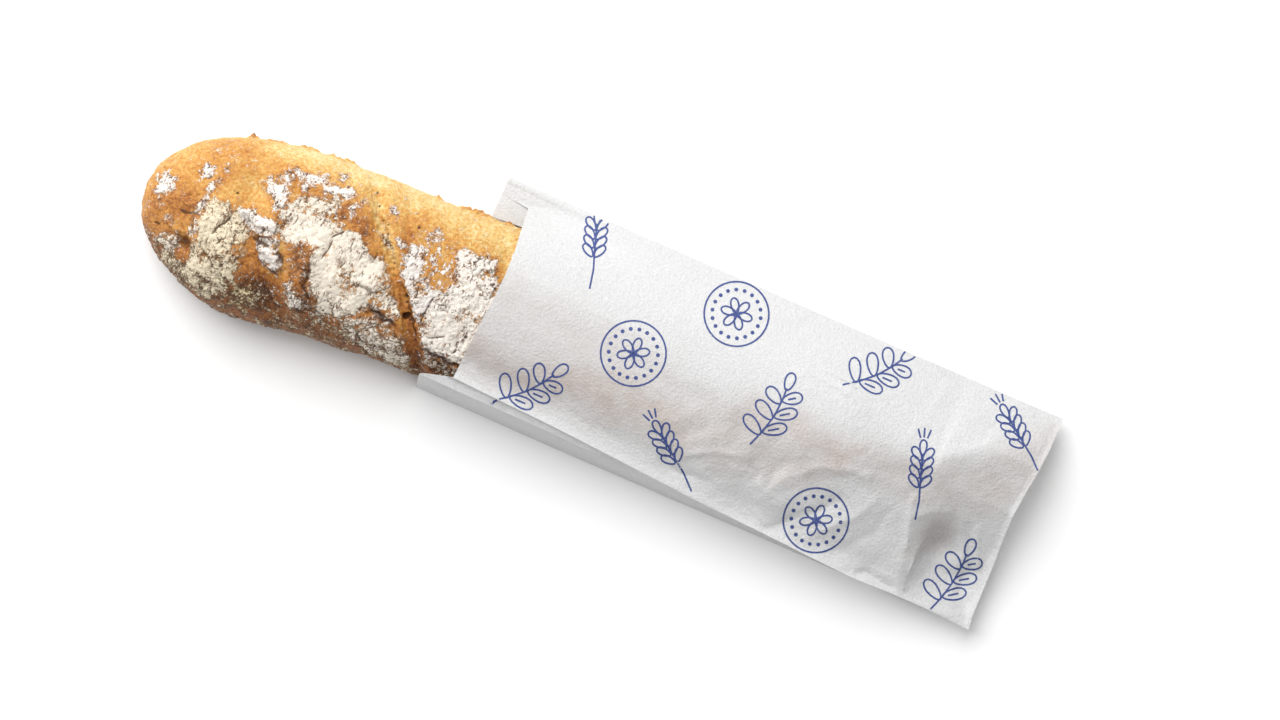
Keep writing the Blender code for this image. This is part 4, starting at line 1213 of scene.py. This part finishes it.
# ---------------------------------------------------------------------------------------------
# The print on the bag: blue line drawings of wheat ears, leaf sprigs and dotted rings in
# staggered rows, printed in one colour on the flat paper before it was folded. It is a film of
# ink that follows the paper's folds and runs over the near crease.
# ---------------------------------------------------------------------------------------------
INK_LINE = 0.82  # mm wide
INK_STEP = 0.8  # mm between the ribbon's rows
INK_RAISED = 0.05  # mm over the paper, so that the two never mix
INK_FILM = 0.00003  # metres thick
DOT_RADIUS = 0.95
NEAR_GUSSET_TO = -38.0  # mm in y; a ray from the near side that gets past it has missed the gusset
PRINTED_TO = (54.3, 0.009)  # the far edge of the print: its y at x = 0, and how it drifts along x
MOTIF_PITCH = 72.0
MOTIF_ROWS = ((39.0, -14.0), (3.0, 22.0), (-33.0, -14.0))  # y, and x of the first motif
MOTIFS_IN_ROW = 4
MOTIF_TURNS = (18.0, 0.0, -24.0)  # one for each kind, and every second motif is turned further
SECOND_TURN = 34.0


def oval(cx, cy, length, width, degrees, points=14):
    """A pointed oval, as of a grain or a leaf, from its foot at (cx, cy)."""
    a = math.radians(degrees)
    loop = []
    for i in range(points + 1):
        t = 2 * math.pi * i / points
        u = 0.5 * length * (1 - math.cos(t))
        v = 0.5 * width * math.sin(t) * (1 - 0.25 * math.cos(t))
        loop.append((cx + u * math.cos(a) - v * math.sin(a), cy + u * math.sin(a) + v * math.cos(a)))
    return loop


def wheat_ear():
    strokes = [[(0, -18), (0.8, -9), (0.3, 0), (0, 12)]]
    for level in range(4):
        foot = -3.0 + 4.2 * level
        for side in (1, -1):
            strokes.append(oval(0.4 * side, foot, 7.2, 3.4, 90 - 38 * side))
    strokes.append(oval(0, 12, 7.0, 3.2, 90))
    for lean in (-24, 0, 24):
        across, along = math.cos(math.radians(90 + lean)), math.sin(math.radians(90 + lean))
        strokes.append([(4 * across, 17 + 3 * along), (7.5 * across, 17 + 7.5 * along)])
    return strokes, []


def leaf_sprig():
    stem = [(-9, -15), (-5, -8), (-1.5, 0), (0.5, 8), (1.2, 14)]
    strokes = [stem, oval(1.2, 13, 8.5, 4.6, 82)]
    for (x, y), reach in zip(stem[1:4], (11.5, 11, 9.5)):
        strokes.append(oval(x, y, reach, 5.2, 24))
        strokes.append(oval(x - 0.5, y - 1.5, reach, 5.2, 142))
        strokes.append([(x + 2.5, y + 1.1), (x + 0.62 * reach, y + 0.28 * reach)])
    return strokes, []


def dotted_ring():
    ring = [(15 * math.cos(t), 15 * math.sin(t)) for t in np.linspace(0, 2 * math.pi, 40)]
    strokes = [ring] + [oval(0, 0, 7.5, 3.6, 60 * i + 30) for i in range(6)]
    around = np.linspace(0, 2 * math.pi, 18, endpoint=False)
    return strokes, [(11.3 * math.cos(t), 11.3 * math.sin(t)) for t in around]


paper_tree = ray_tree(bag.data)


def on_paper(x, y):
    """The place of the ink at (x, y) of the flat sheet, or None where there is no printed paper."""
    crease_y, crease_z = crease_at(1, x)
    crease_z += END_LIFT[0][1] * float(past_tip(x)) ** LIFT_POWER
    if y < crease_y:  # past the near crease it runs down the gusset
        hit = paper_tree.ray_cast(Vector((x, -RAY_FROM, crease_z + y - crease_y)), Vector((0, 1, 0)))
        if hit[0] is None or hit[0].y > NEAR_GUSSET_TO or hit[0].z < 1.0 or hit[1].y > -0.2:
            return None
    else:
        hit = paper_tree.ray_cast(Vector((x, y, RAY_FROM)), Vector((0, 0, -1)))
        notch = x < FRONT_MOUTH + 0.5 and y < NOTCH_FAR[0] + 2.5
        edge = PRINTED_TO[0] + PRINTED_TO[1] * x
        if hit[0] is None or hit[1].z < 0.05 or notch or y > edge:
            return None
        if y < crease_y + 3.0 and hit[0].z < crease_z - 4.0:  # just off the panel's edge
            return None
    return hit[0] + hit[1] * INK_RAISED


def print_stroke(points):
    """Thin ribbons that follow the paper along a line of (x, y) points."""
    steps = max(2, round(run_lengths(points)[-1] / INK_STEP))
    xs, ys = np.array(even_steps(points, steps)).T
    dx, dy = np.gradient(xs), np.gradient(ys)
    run = []
    for i in range(steps + 1):
        size = math.hypot(dx[i], dy[i]) or 1.0
        half = 0.5 * INK_LINE * (1 + 0.12 * noise.noise(Vector((xs[i] / 3, ys[i] / 3, 0))))
        ox, oy = -dy[i] / size * half, dx[i] / size * half
        pair = (on_paper(xs[i] + ox, ys[i] + oy), on_paper(xs[i] - ox, ys[i] - oy))
        if None in pair:
            lay_ribbon(run)
            run = []
        else:
            run.append(pair)
    lay_ribbon(run)


def lay_ribbon(run):
    if len(run) < 2:
        return
    bpy.ops.mesh.primitive_grid_add(x_subdivisions=len(run) - 1, y_subdivisions=1, size=1.0)
    mesh = bpy.context.object.data
    flat = read_vectors(mesh, "co")
    column = np.rint((flat[:, 0] + 0.5) * (len(run) - 1)).astype(int)
    write_points(mesh, np.array([run[c][0 if v > 0 else 1] for c, v in zip(column, flat[:, 1])]) * 0.001)
    ink_parts.append(bpy.context.object)


def print_dot(x, y):
    around = [i * math.pi / 4 for i in range(8)]
    rim = [on_paper(x + DOT_RADIUS * math.cos(t), y + DOT_RADIUS * math.sin(t)) for t in around]
    if None in rim:
        return
    bpy.ops.mesh.primitive_circle_add(vertices=8, radius=1.0, fill_type="NGON")
    write_points(bpy.context.object.data, np.array(rim) * 0.001)
    ink_parts.append(bpy.context.object)


def ink_material():
    """Water-based ink on rough paper: matt, and a little paler where the paper's fibres show."""
    material, tree, shader = new_material("flexo_printed_blue_ink")
    place = add_node(tree, "TexCoord").outputs["Object"]
    thin = add_node(
        tree, "TexNoise", {"Vector": place, "Scale": 1000 / 1.2, "Detail": 3.0, "Roughness": 0.65}
    ).outputs[0]
    spread = add_node(
        tree, "MapRange", {"Value": thin, "From Min": 0.45, "From Max": 0.75, "To Max": 0.45}
    ).outputs[0]
    tone = add_node(
        tree, "Mix", {"Factor": spread, 6: linear("#3A4A84"), 7: linear("#7F89AE")}, data_type="RGBA"
    ).outputs[2]
    tree.links.new(tone, shader.inputs["Base Color"])
    shader.inputs["Roughness"].default_value = 0.6
    shader.inputs["Specular IOR Level"].default_value = 0.3
    return material


def print_motif(motif, cx, cy, degrees):
    """Print the strokes and dots of a motif, turned about its middle at (cx, cy)."""
    a = math.radians(degrees)

    def placed(point):
        x, y = point
        return cx + x * math.cos(a) - y * math.sin(a), cy + x * math.sin(a) + y * math.cos(a)

    strokes, dots = motif
    for stroke in strokes:
        print_stroke([placed(p) for p in stroke])
    for dot in dots:
        print_dot(*placed(dot))


ink_parts = []
motifs = (wheat_ear(), dotted_ring(), leaf_sprig())
spots = [(x + MOTIF_PITCH * column, y) for y, x in MOTIF_ROWS for column in range(MOTIFS_IN_ROW)]
for number, (x, y) in enumerate(spots):
    print_motif(motifs[number % 3], x, y, MOTIF_TURNS[number % 3] + SECOND_TURN * (number % 2))

bpy.ops.object.select_all(action="DESELECT")
for part in ink_parts:
    part.select_set(True)
bpy.context.view_layer.objects.active = ink_parts[0]
bpy.ops.object.join()
ink = bpy.context.object
ink.name = "blue_print"
ink_film = ink.modifiers.new("ink_film", "SOLIDIFY")
ink_film.thickness = INK_FILM
ink_film.offset = 1.0
bpy.ops.object.modifier_apply(modifier=ink_film.name)
ink.data.materials.clear()
ink.data.materials.append(ink_material())
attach(ink, "root")
